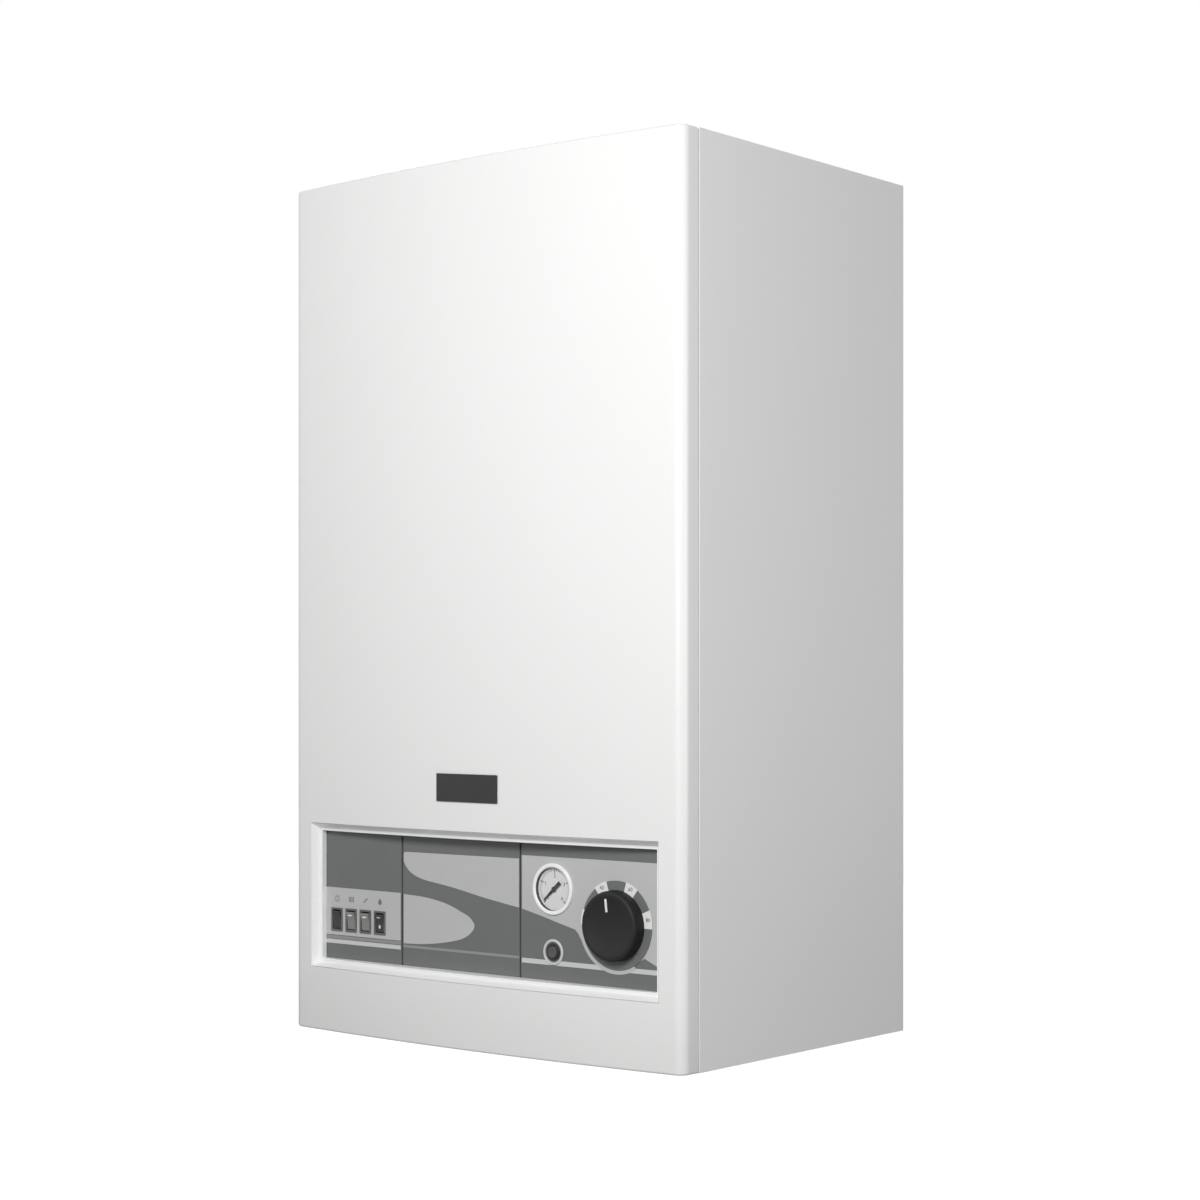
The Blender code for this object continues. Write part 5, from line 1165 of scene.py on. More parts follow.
# A dark ring of painted shade just inside the gauge ring's lip, which stands for the shadow in the gap
# between ring and dial: how far it reaches in from the lip and out past it, and how far behind the lens it
# begins.
GAUGE_SHADE_RING = (-0.0002, 0.0006, 0.0010)
KNOB_FACE = ((0.0035, 0.0004), (0.0028, 0))
BUTTON_FACE = ((0.0014, 0.0001), (0.0008, 0))
RESET_NECK = ((0.0046, 0.0014), (0.0049, 0.0017), (0.0062, 0.0017), (0.0065, 0.0014), (0.0065, 0.0002),
              (0.0046, 0.0002))
EARTH_STUD = ((0, 0), (0.0062, 0), (0.0062, 0.0008), (0.0020, 0.0008), (0.0020, 0.0110), (0.0016, 0.0116),
              (0, 0.0116))
EARTH_NUT = ((0.0021, 0.0010), (0.0044, 0.0010), (0.0044, 0.0042), (0.0021, 0.0042))

# Small sizes of the reset collar: its crown, rim and dish behind the front, and the split.
COLLAR_CROWN, COLLAR_RIM, COLLAR_DISH, COLLAR_SPLIT = 0.0005, 0.0004, 0.0006, 0.0001

# Small sizes of the knob and its scale.
KNOB_SHAFT = 0.003
MARK_DEPTH = 0.0004
KNOB_RIBS = 72
RIB_INSETS = (0.0012, 0.00035)
RIB_WIDTH, RIB_LENGTH, RIB_BACK = 0.0011, 0.0052, 0.0008
SCALE_EDGE, FIELD_REACH = 0.0002, 0.0006
NUMBER_SHIFT, NUMBER_RISE = 0.0008, 0.00022

# Small blocks: their lower and upper corner from the middle of a solid's front, or from its corner.
VENT_SLOT = ((-0.0070, -0.0040, -0.0008), (0.0070, -0.0018, 0.0008))
MOTOR_PLATE = ((-0.0150, -0.0005, -0.0290), (0.0150, 0.0005, -0.0150))
TERMINAL_BOX = ((-0.0220, 0.0160, -0.0040), (0.0220, 0.0560, 0.0150))
BOARD_CHIP = ((0.0220, -0.0042, 0.0538), (0.0502, -0.0002, 0.0642))

# Rows of blocks: how many, the first one's middle from the board's lower corner, size and pitch.
CHIP_PINS = (9, (0.0240, -0.0008, 0.0590), (0.0010, 0.0018, 0.0148), 0.0030)
RESISTORS = (7, (0.0580, -0.0010, 0.0590), (0.0024, 0.0022, 0.0085), 0.0056)
PLUGS, PLUG_SIZE, PLUG_REACH = 5, (0.0125, 0.0102, 0.0085), 0.0050
PLUG_SCREW = (0.0021, 0.0010)
PLUG_SCREW_SHIFT, PLUG_SCREW_REACH = 0.0030, 0.0103
CLAMP_SIZE, CLAMP_DEPTH = (0.0074, 0.0026, 0.0052), 0.0092
BARRIER_RISE, BARRIER_DEPTH = 0.0010, 0.0032
WELL_GAP, WELL_DEPTH, WELL_HEIGHT, WELL_RISE = 0.0016, 0.0012, 0.0140, 0.0002

# Places: of the pump's flange screws as shares of their reach, and of parts from a solid's edges.
FLANGE_SCREWS = ((0.8, 0.6), (-0.8, 0.6), (0.8, -0.6), (-0.8, -0.6))
FLANGE_REACH = 0.0036
BOX_SCREW_INSET = 0.0060
FLOW_NUT_INSET = 0.0015
CAPACITORS = ((0.1100, 0.0200), (0.1260, 0.0200), (0.1180, 0.0370))
PLATE_INSETS = (0.0080, 0.0240, 0.0060)
EARTH_PLACE = (0.0300, 0.1750)
ARMATURE_FRAME = (0.0006, 0.0040)
ARMATURE_BACK, WELL_FRONT = 0.0004, 0.0008
MOTOR_RIBS = 5
RELAYS = 4
TERMINALS = 7
POLES = 4
HEXAGON = 6


class FinishesOperator(bpy.types.Operator):
    """Builds the finishes and gives them to the solids that stay"""

    bl_idname = "boiler.finishes"
    bl_label = "Finishes"

    def execute(self, context):
        for build in (make_mottle, make_drift, make_spray, make_grain, make_brush, make_spangle, make_cast,
                      make_dust, make_bow_tree, make_marks_tree, make_row_tree, make_screw_tree):
            build()
        for name, colour, *looks in FINISHES:
            extra = looks.pop() if isinstance(looks[-1], dict) else {}
            if isinstance(colour, str):
                colour = getattr(context.scene.boiler_colours, colour)
            new_finish(name, colour, *looks, **extra)
        let_lamps_through(finish("gauge glass"))
        for node, name in (("gauge_dial", "dial white"), ("gauge_lens", "gauge glass")):
            paint(frame["nodes"][node].data, name)
        return {"FINISHED"}


class CoverOperator(bpy.types.Operator):
    """Builds the bowed front cover with its window and studs"""

    bl_idname = "boiler.front_cover"
    bl_label = "Front Cover"

    def execute(self, context):
        casing = context.scene.boiler_casing
        self.add_sheet(casing)
        front, rear = corner_line(casing) + FIT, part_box("front_cover")[1].y
        radius, tip = casing.stud_radius, casing.stud_tip
        profile = [(0, front), (radius, front), (radius, rear - tip), (radius - tip, rear), (0, rear)]
        reach, heights = stud_places(casing)
        places = [(x, z) for x in (-reach, reach) for z in heights]
        for number, place in enumerate(places, 1):
            turned("cover_stud_%d" % number, profile, place, STUD_STEPS, "screw steel", "front_cover",
                   slot="white_paint")
        return {"FINISHED"}

    def add_sheet(self, casing):
        """Rows of points from foot to top, outside and inside, with faces all round but in the window."""
        sweep, corner = cover_sweep(casing), corner_line(casing)
        base_line = bow_values(casing)[2]
        window = HALF_WIDTH - casing.window_margin + FIT
        low_edge, high_edge = window_edges(casing)
        window_low, window_high = low_edge - FIT, high_edge + FIT
        rear = corner + casing.cover_return
        points, follow = [], []
        side_steps, middle_steps, corner_steps = 4, 60, 12

        def add_row(inset, z):
            radius = casing.edge_radius - inset
            start = HALF_WIDTH - casing.edge_radius + radius * math.cos(sweep)
            left = [(-HALF_WIDTH + inset, rear)]
            for step in range(corner_steps + 1):
                angle = sweep * step / corner_steps
                left.append((-HALF_WIDTH + casing.edge_radius - radius * math.cos(angle),
                             corner - radius * math.sin(angle)))
            side = [start - (start - window) * step / side_steps for step in range(1, side_steps)]
            columns = [-x for x in side]
            columns += [-window + 2 * window * step / middle_steps for step in range(middle_steps + 1)]
            columns += side[::-1]
            places = [(x, y, 0.0) for x, y in left] + [(x, base_line + inset, 1.0) for x in columns]
            places += [(-x, y, 0.0) for x, y in reversed(left)]
            points.extend((x, y, z) for x, y, _ in places)
            follow.extend(share for _, _, share in places)
            return list(range(len(points) - len(places), len(points)))

        lower = [(-across, height) for across, height in rounded_edge(0.0, 0.0, casing.rim_round, 5)]
        levels = [(inset, FOOT + height) for inset, height in lower]
        levels += [(0.0, window_low), (0.0, window_high)]
        levels += [(inset, TOP - height) for inset, height in reversed(lower)]
        outer = [add_row(inset, z) for inset, z in levels]
        inner = [add_row(casing.sheet, z)
                 for z in (FOOT + casing.sheet, window_low, window_high, TOP - casing.sheet)]
        first = corner_steps + 1 + side_steps
        last = first + middle_steps
        hole = len(lower)
        faces = []
        for rows, open_row in ((outer, hole), (inner, 1)):
            for index, (low, high) in enumerate(zip(rows, rows[1:])):
                for column in range(len(low) - 1):
                    if index != open_row or not first <= column < last:
                        faces.append((low[column], low[column + 1], high[column + 1], high[column]))
            faces += [tuple(rows[0]), tuple(rows[-1])]
        for end in (0, -1):
            faces.append(tuple([row[end] for row in outer] + [row[end] for row in reversed(inner)]))
            faces.append((outer[end][0], outer[end][-1], inner[end][-1], inner[end][0]))
        for column in (first, last):
            faces.append((outer[hole][column], outer[hole + 1][column], inner[2][column], inner[1][column]))
        for outside, inside in ((outer[hole], inner[1]), (outer[hole + 1], inner[2])):
            for column in range(first, last):
                faces.append((outside[column], outside[column + 1], inside[column + 1], inside[column]))
        cover = bowed("cover_sheet", points, follow, faces, "white enamel", "front_cover", "white_paint")
        soften(cover, casing.sheet / 5)


class BezelOperator(bpy.types.Operator):
    """Builds the white frame round the window"""

    bl_idname = "boiler.window_frame"
    bl_label = "Window Frame"

    def execute(self, context):
        casing, bezel = context.scene.boiler_casing, context.scene.boiler_bezel
        base_line = bow_values(casing)[2]
        window = HALF_WIDTH - casing.window_margin
        low, high = window_edges(casing)
        inset, behind = bezel.slope_width + bezel.ring_width, casing.sheet + FIT
        wall_rear, wall_inset = PANEL - FIT, inset - bezel.wall
        ring_rear, flange_rear = bezel.slope_depth + bezel.wall, behind + bezel.flange_thickness
        profile = (
            (0, 0, 1.0), (bezel.slope_width, bezel.slope_depth, 1.0), (inset, bezel.slope_depth, 1.0),
            (inset, wall_rear, 0.0), (wall_inset, wall_rear, 0.0), (wall_inset, ring_rear, 1.0),
            (bezel.slope_width - bezel.wall, ring_rear, 1.0), (-FIT, flange_rear, 1.0),
            (-bezel.flange, flange_rear, 1.0), (-bezel.flange, behind, 1.0), (0, behind, 1.0),
        )
        steps = 60
        stations = [(-1 + 2 * step / steps, low, 1) for step in range(steps + 1)]
        stations += [(1 - 2 * step / steps, high, -1) for step in range(steps + 1)]
        points, follow = [], []
        for share, edge, toward in stations:
            for across, depth, bowing in profile:
                y = base_line + depth if bowing else depth
                points.append((share * (window - across), y, edge + toward * across))
                follow.append(bowing)
        faces = loop_faces(len(stations), len(profile), closed=True)
        piece = bowed("window_frame", points, follow, faces, "white bezel", "window_bezel", "white_plastic")
        soften(piece, bezel.edge, 3, 25)
        return {"FINISHED"}


class BadgeOperator(bpy.types.Operator):
    """Builds the bare plate on the front"""

    bl_idname = "boiler.bare_plate"
    bl_label = "Bare Plate"

    def execute(self, context):
        low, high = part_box("badge_plate")
        rear = bow_values(context.scene.boiler_casing)[2] - FIT
        front = rear - BADGE_THICKNESS
        points, steps = [], 16
        for step in range(steps + 1):
            x = low.x + (high.x - low.x) * step / steps
            points += [(x, front, low.z), (x, front, high.z), (x, rear, high.z), (x, rear, low.z)]
        badge = bowed("bare_plate", points, [1.0] * len(points), loop_faces(steps + 1, 4), "badge black",
                      "badge_plate", "badge_plastic")
        soften(badge, context.scene.boiler_panel.badge_edge / 2, 3)
        return {"FINISHED"}


class CasingOperator(bpy.types.Operator):
    """Builds the folded side sheets and the screws that hold the casing"""

    bl_idname = "boiler.casing"
    bl_label = "Casing Sheets"

    def execute(self, context):
        casing = context.scene.boiler_casing
        front = corner_line(casing) + casing.cover_return + casing.seam
        fold = HALF_WIDTH - casing.side_flange
        corners = [Vector(place) for place in (
            (fold, front), (HALF_WIDTH, front), (HALF_WIDTH, 0), (fold, 0))]
        outline = sheet_outline(rounded_path(corners, casing.fold, 8), casing.sheet)
        reach, heights = stud_places(casing)
        for side, hand in ((-1, "left"), (1, "right")):
            places = [(side * x, y) for x, y in outline]
            sheet = extrude(hand + "_sheet", places, "Z", FOOT, TOP, "white enamel")
            for height in heights:
                bore(sheet, (side * reach, height), casing.stud_radius + FIT * 2, front, 0.004, 24)
            settle(sheet, "casing", hand + "_side_panel", slot="white_paint")
            soften(sheet, casing.sheet / 5)
        low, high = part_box("back_plate")
        rear = casing.screw_height / 2 - casing.back_recess
        places = grid((low.x + casing.back_inset, high.x - casing.back_inset), rear,
                      [low.z + (high.z - low.z) * share for share in (0.04, 0.35, 0.65, 0.93)])
        screws("back_screws", places, casing.back_screw, casing.screw_height, 5, -math.pi / 2)
        low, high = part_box("bottom_plate")
        places = [(x, low.y + (high.y - low.y) * share, low.z - casing.screw_height / 2)
                  for x in (low.x + casing.base_inset, high.x - casing.base_inset)
                  for share in (0.10, 0.50, 0.90)]
        screws("base_screws", places, casing.base_screw, casing.screw_height, 8, math.pi)
        return {"FINISHED"}


class InnerOperator(bpy.types.Operator):
    """Builds the plates, brackets and control bodies behind the sheets"""

    bl_idname = "boiler.inner_sheets"
    bl_label = "Inner Sheets"

    def execute(self, context):
        dress(INNER_PIECES)
        return {"FINISHED"}


class ModulesOperator(bpy.types.Operator):
    """Builds the three panel plates, their light areas, lines and small signs"""

    bl_idname = "boiler.panel_modules"
    bl_label = "Panel Modules"

    def execute(self, context):
        panel, dials = context.scene.boiler_panel, context.scene.boiler_dials
        for node in ("switch_module", "centre_flap", "dial_module"):
            refined(node, "casing", "panel dark", panel.plate_edge, "module_plastic")
        edge_left, edge_right = MODULE_LEFT / MM + AREA_GAP, MODULE_RIGHT / MM - AREA_GAP
        area_end, line_end = SEAM_LEFT / MM - AREA_GAP, SEAM_LEFT / MM - LINE_GAP
        dial_start = SEAM_RIGHT / MM + LINE_GAP
        flap_left, flap_right = (corner.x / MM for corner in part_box("centre_flap"))
        rim = Vector((panel.switch_rim, 0, panel.switch_rim))
        switches = [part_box("switch_body_%d" % number) for number in range(1, 5)]
        pad = [(edge_left, PAD_FOOT), (area_end, PAD_FOOT), (area_end, PAD_INNER), (edge_left, PAD_OUTER)]
        inlay("switch_pad", pad, "panel light", openings=[(low + rim, high - rim) for low, high in switches])
        inlay("switch_line", rectangle(edge_left, line_end, *SWITCH_LINE), "panel line", LINE_LIFT)
        # The strips' lighter tone holds a painted highlight on top of their own light grey.
        inlay("switch_strip", rectangle(edge_left, area_end, *SWITCH_STRIP), "panel strip")
        start, end = flap_right - UPPER_GAP, flap_left + FLAP_GAP
        upper = through_points([(start, UPPER_START), *FLAP_UPPER, (end, UPPER_END)])
        upper += [(end, UPPER_SIDE), (flap_left + CORNER_GAP, UPPER_CORNER), (start, UPPER_TOP)]
        inlay("flap_upper", upper, "panel light")
        end = flap_left + LEAF_GAP
        leaf = through_points([(end, LEAF_START), *FLAP_LEAF, (end, LEAF_END)])
        inlay("flap_leaf", leaf, "panel light")
        inlay("flap_line", rectangle(flap_left, flap_right, *FLAP_LINE), "panel line", LINE_LIFT)
        area = [(dial_start, DIAL_START), *DIAL_SLOPE, *through_points(DIAL_CURVE)[1:], *DIAL_FOOT,
                (edge_right, DIAL_SIDE), (edge_right, DIAL_TOP), (dial_start, DIAL_TOP)]
        self.open_dials(inlay("dial_area", area, "panel light"), dials)
        strip = rectangle(dial_start, edge_right, *DIAL_STRIP)
        self.open_dials(inlay("dial_strip", strip, "panel strip", STRIP_LIFT), dials)
        radius = dials.scale_radius / MM
        band = sector(KNOB_X / MM, (KNOB_Z - FOOT) / MM, radius - BAND_INSET, radius + BAND_REACH, BAND_START,
                      BAND_SPAN, 24)
        inlay("dial_band", band, "panel light", BAND_LIFT)
        self.add_signs(panel, [middle_of(low, high)[0] for low, high in switches])
        return {"FINISHED"}

    def open_dials(self, piece, dials):
        """Cuts the area clear of the gauge, the reset collar and the scale ring."""
        for place, radius in (((GAUGE_X, GAUGE_Z), GAUGE_HIGH.x - GAUGE_X - GAUGE_ROOM),
                              ((RESET_X, RESET_Z), COLLAR_HIGH.x - RESET_X - DIAL_ROOM),
                              ((KNOB_X, KNOB_Z), dials.scale_radius - DIAL_ROOM)):
            bore(piece, place, radius, PANEL, HOLE_DEPTH, 64)

    def add_signs(self, panel, middles):
        """Small generic signs over the switches: sun, radiator, shower and drop."""
        size, foil, z = panel.sign_size, panel.foil, at(panel.sign_height)
        sun, radiator, shower, drop = middles
        rear, line = PANEL - foil * 1.15, size * 0.13
        radial_marks("sign_sun", "casing", "sign print", (sun, rear, z), size * 0.30, size * 0.56, line, foil,
                     8, math.pi / 4)
        block_row("sign_radiator", "sign print", 4, (radiator - size * 0.45, rear, z),
                  (line, foil, size * 0.85), size * 0.3)
        block_row("sign_shower", "sign print", 3, (shower - size * 0.25, rear, z - size * 0.25),
                  (size * 0.5, foil, line), size * 0.25, size * 0.25)
        x, z, size = drop / MM, (z - FOOT) / MM, size / MM
        outline = oval(x, z - size * 0.12, size * 0.38, size * 0.38, 0.70, 1.60)
        inlay("sign_drop", outline + [(x, z + size * 0.55)], "sign print", SIGN_LIFT)


class SwitchesOperator(bpy.types.Operator):
    """Builds the four switch frames and their rockers"""

    bl_idname = "boiler.switches"
    bl_label = "Switches"

    def execute(self, context):
        for number, kind in enumerate(("dark", "lens", "lens", "dark"), 1):
            refined("switch_body_%d" % number, "casing", "switch frame", 0.0003, "black_plastic")
            rocker = "rocker_%d" % number
            refined(rocker, rocker, "rocker " + kind, 0.0005, "rocker_" + kind, 3)
        # The upper ovals are painted highlights in white on the rockers' tops; the lower one on the fourth
        # rocker is a printed mark.
        for number, above, width, height in ROCKER_HIGHLIGHTS_AND_MARK:
            rocker = "rocker_%d" % number
            x, z = middle_of(*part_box(rocker))
            face = front_of(rocker, x, z + above)
            name = "rocker_print_%d_%s" % (number, "upper" if above > 0 else "lower")
            outline = oval(x, z + above, width / 2, height / 2)
            settle(extrude(name, outline, "Y", face + 0.0006, face - PRINT, "white mark"), rocker)
        return {"FINISHED"}


class GaugeOperator(bpy.types.Operator):
    """Builds the gauge's ring, its marks, numbers and pointer"""

    bl_idname = "boiler.gauge"
    bl_label = "Pressure Gauge"

    def execute(self, context):
        dials = context.scene.boiler_dials
        place = GAUGE_X, GAUGE_Z
        outer, front, rear = GAUGE_HIGH.x - GAUGE_X, GAUGE_LOW.y, GAUGE_HIGH.y
        lip, skirt = outer - dials.gauge_lip, outer - dials.gauge_skirt
        lens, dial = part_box("gauge_lens")[0].y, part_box("gauge_dial")[0].y
        profile = [(lip + out, front + back) for out, back in GAUGE_LIP]
        profile += rounded_edge(outer, front, dials.gauge_edge)
        profile += [(outer, rear), (skirt, rear), (skirt, lens - FIT), (lip, lens - FIT)]
        turned("gauge_ring", profile, place, GAUGE_STEPS, "white bezel", node="gauge_bezel",
               slot="white_plastic")
        # A thin dark ring of painted shade where the ring's lip meets the dial.
        inward, outward, back = GAUGE_SHADE_RING
        shade_outline = rectangle(lip + inward, lip + outward, lens + back, dial - PRINT)
        turned("gauge_painted_shade_ring", shade_outline, place, GAUGE_STEPS, "dial print")
        start, sweep, face = GAUGE_START, GAUGE_SWEEP, dial - PRINT / 2
        for name, count, sizes in (("gauge_ticks", dials.gauge_ticks, SHORT_TICKS),
                                   ("gauge_long_ticks", LAST_NUMBER + 1, LONG_TICKS)):
            radial_marks(name, "casing", "dial print", (GAUGE_X, face, GAUGE_Z), *sizes, PRINT, count,
                         math.radians(sweep) / (count - 1), math.radians(start))
        for index in range(LAST_NUMBER + 1):
            x, z = polar(*place, dials.number_reach, start + sweep / LAST_NUMBER * index)
            lettering("gauge_number_%d" % index, str(index), dials.number_size, (x, face, z))
        refined("gauge_pointer", "gauge_pointer", "pointer black", 0.0001, "black_plastic")
        return {"FINISHED"}


class ThermostatOperator(bpy.types.Operator):
    """Builds the knob, its mark and the scale round it"""

    bl_idname = "boiler.thermostat"
    bl_label = "Thermostat Knob"

    def execute(self, context):
        dials = context.scene.boiler_dials
        radius, front, rear = KNOB_HIGH.x - KNOB_X, KNOB_LOW.y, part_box("scale_ring")[0].y - FIT
        top = radius - dials.knob_draft
        flat = top - dials.knob_edge
        profile = [(flat - inward, front + back) for inward, back in KNOB_FACE]
        profile = [(0, profile[0][1])] + profile + rounded_edge(top, front, dials.knob_edge)
        profile += [(radius, rear), (KNOB_SHAFT, rear), (KNOB_SHAFT, KNOB_HIGH.y), (0, KNOB_HIGH.y)]
        turned("knob", profile, (KNOB_X, KNOB_Z), KNOB_STEPS, "knob black", "thermostat_knob",
               "thermostat_knob", "black_plastic", 50.0)
        outer = flat - dials.mark_inset
        radial_marks("knob_mark", "thermostat_knob", "white mark", (KNOB_X, front + FIT, KNOB_Z),
                     outer - dials.mark_length, outer, dials.mark_width, MARK_DEPTH,
                     start=math.radians(dials.mark_turn))
        near, far = (radius - inset for inset in RIB_INSETS)
        rib_middle = (KNOB_X, (front + rear) / 2 + RIB_BACK, KNOB_Z)
        radial_marks("knob_ribs", "thermostat_knob", "knob black", rib_middle, near, far, RIB_WIDTH,
                     RIB_LENGTH, KNOB_RIBS, 2 * math.pi / KNOB_RIBS)
        self.add_scale(dials)
        return {"FINISHED"}

    def add_scale(self, dials):
        """Dark ring with light fields that bear the numbers."""
        low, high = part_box("scale_ring")
        inner, outer = KNOB_HIGH.x - KNOB_X - dials.knob_edge, dials.scale_radius
        profile = [(inner, low.y), (outer - SCALE_EDGE, low.y), (outer, low.y + SCALE_EDGE), (outer, high.y),
                   (inner, high.y)]
        turned("scale_ring_look", profile, (KNOB_X, KNOB_Z), KNOB_STEPS, "panel dark", node="scale_ring",
               slot="grey_plastic")
        near, far = inner + FIELD_REACH, outer + FIELD_REACH
        for text, turn, span in SCALE_FIELDS:
            outline = sector(KNOB_X, KNOB_Z, near, far, turn - span / 2, span, 8)
            settle(extrude("scale_field_" + text, outline, "Y", low.y + PRINT, low.y - PRINT * 2,
                           "white mark"), "casing")
            x, z = polar(KNOB_X, KNOB_Z, (near + far) / 2 + NUMBER_SHIFT, turn)
            lettering("scale_number_" + text, text, dials.number_size, (x, low.y - NUMBER_RISE, z))


class ResetOperator(bpy.types.Operator):
    """Builds the reset button and its two-colour collar"""

    bl_idname = "boiler.reset"
    bl_label = "Reset Button"

    def execute(self, context):
        dials = context.scene.boiler_dials
        place = RESET_X, RESET_Z
        outer, front, rear = COLLAR_HIGH.x - RESET_X, COLLAR_LOW.y, COLLAR_HIGH.y
        split, bore_radius = outer - dials.collar_width, dials.collar_bore
        rim = front + COLLAR_RIM
        crown = oval((split + outer) / 2, front + COLLAR_CROWN, (split - outer) / 2, -COLLAR_CROWN, 0.0,
                     1.0, 8)
        turned("reset_ring", [(split, rear), (split, rim), *crown, (outer, rear)], place, COLLAR_STEPS,
               "panel strip", node="reset_collar", slot="light_plastic")
        edge = split - COLLAR_SPLIT
        dish = [(bore_radius, front + COLLAR_DISH), (edge, rim), (edge, rear), (bore_radius, rear)]
        turned("reset_dish", dish, place, COLLAR_STEPS, "panel dark")
        low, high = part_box("reset_button")
        radius = high.x - RESET_X
        profile = [(0, low.y + FIT), *[(radius - inset, low.y + back) for inset, back in BUTTON_FACE]]
        profile += rounded_edge(radius, low.y, dials.button_edge, 6, 1) + [(radius, high.y), (0, high.y)]
        turned("reset_button_look", profile, place, BUTTON_STEPS, "grey button", "reset_button",
               "reset_button", "grey_plastic", 60.0)
        neck = [(radius, PANEL - rise) for radius, rise in RESET_NECK]
        turned("reset_neck", neck, place, BUTTON_STEPS, "black plastic")
        return {"FINISHED"}


class WaterOperator(bpy.types.Operator):
    """Builds the exchanger, vessel, pump, pipes and valves with their nuts, straps and screws"""

    bl_idname = "boiler.water_side"
    bl_label = "Water Side"

    def execute(self, context):
        inner = context.scene.boiler_inner
        dress(WATER_PIECES)
        self.tank(inner)
        self.pump(inner)
        self.pipes(inner)
        return {"FINISHED"}

    def tank(self, inner):
        """Straps and buckles round the insulation, and the weld beads of the exchanger."""
        low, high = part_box("exchanger_insulation")
        centre, radius = middle(low, high, "z"), (high.x - low.x) / 2
        width, rise = inner.strap_width, inner.strap_rise
        for number, share in ((1, 0.15), (2, 0.85)):
            base = low.z + (high.z - low.z) * share - width / 2
            ring("insulation_strap_%d" % number, centre, "Z", radius - rise, radius + rise, base,
                 base + width, "grey plastic")
            case("strap_buckle_%d" % number, (centre.x - width * 0.8, low.y - rise * 3, base - rise),
                 (centre.x + width * 0.8, low.y, base + width + rise), "screw steel", rise / 2)
        low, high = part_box("heat_exchanger")
        centre, radius = middle(low, high, "z"), (high.x - low.x) / 2
        for number, height in ((1, low.z + inner.weld_inset), (2, high.z - inner.weld_inset)):
            ring("weld_bead_%d" % number, centre, "Z", radius - rise, radius + rise, height - rise,
                 height + rise, "tank steel")

    def pump(self, inner):
        """Ribs, vent plug, plate, flange screws and terminal box on the pump's motor."""
        low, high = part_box("pump_motor")
        centre, radius = middle(low, high, "y"), inner.motor_radius
        for index in range(MOTOR_RIBS):
            start = low.y + inner.motor_nose + index * inner.motor_rib_pitch
            ring("motor_rib_%d" % (index + 1), centre, "Y", radius - inner.motor_rib,
                 radius + inner.motor_rib_rise, start, start + inner.motor_rib, "motor paint")
        size, front = inner.plug_radius, low.y - inner.plug_rise
        profile = [(0, low.y + 0.001), (size, low.y + 0.001), (size, front + 0.0008), (size - 0.0007, front),
                   (0, front)]
        plug = lathe("pump_vent_plug", profile, centre, "Y", 48, "brass")
        origin = centre.x, low.y, centre.z
        settle(carve(plug, block("slot", *corners_from(origin, VENT_SLOT), "brass")), "casing")
        case("motor_plate", *corners_from(origin, MOTOR_PLATE), "screw steel", 0.0002)
        flange, reach = high.y - inner.flange_back, radius + FLANGE_REACH
        inner_screws("pump_screws", [(centre.x + reach * sideways, flange, centre.z + reach * upward)
                                     for sideways, upward in FLANGE_SCREWS], 21)
        base, top = corners_from((centre.x, low.y, high.z), TERMINAL_BOX)
        case("pump_terminal_box", base, top, "black plastic", 0.0014, 3)
        ends = base[0] + BOX_SCREW_INSET, top[0] - BOX_SCREW_INSET
        inner_screws("terminal_box_screws", grid(ends, base[1], (top[2] - BOX_SCREW_INSET,)), 22)

    def pipes(self, inner):
        """Hexagonal nuts on the pipe ends and rubber rings in the bottom plate."""
        low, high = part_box("pump_volute")
        port, pipe = middle(*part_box("return_pipe"), "z"), inner.pipe_radius
        half = inner.nut_height / 2
        for name, height in (("pump_nut_low", low.z), ("pump_nut_high", high.z)):
            ring(name, port, "Z", pipe, inner.nut_reach, height - half, height + half, "brass", HEXAGON)
        low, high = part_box("flow_pipe")
        outlet, start = Vector((0, (low.y + high.y) / 2, high.z - pipe)), low.x + FLOW_NUT_INSET
        ring("flow_nut", outlet, "X", pipe, inner.nut_reach, start, start + inner.nut_height, "brass",
             HEXAGON)
        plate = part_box("bottom_plate")[1].z
        flow = Vector((high.x - pipe, outlet.y, 0))
        for name, centre in (("flow_grommet", flow), ("return_grommet", port)):
            ring(name, centre, "Z", pipe, pipe + inner.grommet_width, plate, plate + inner.grommet_height,
                 "rubber")


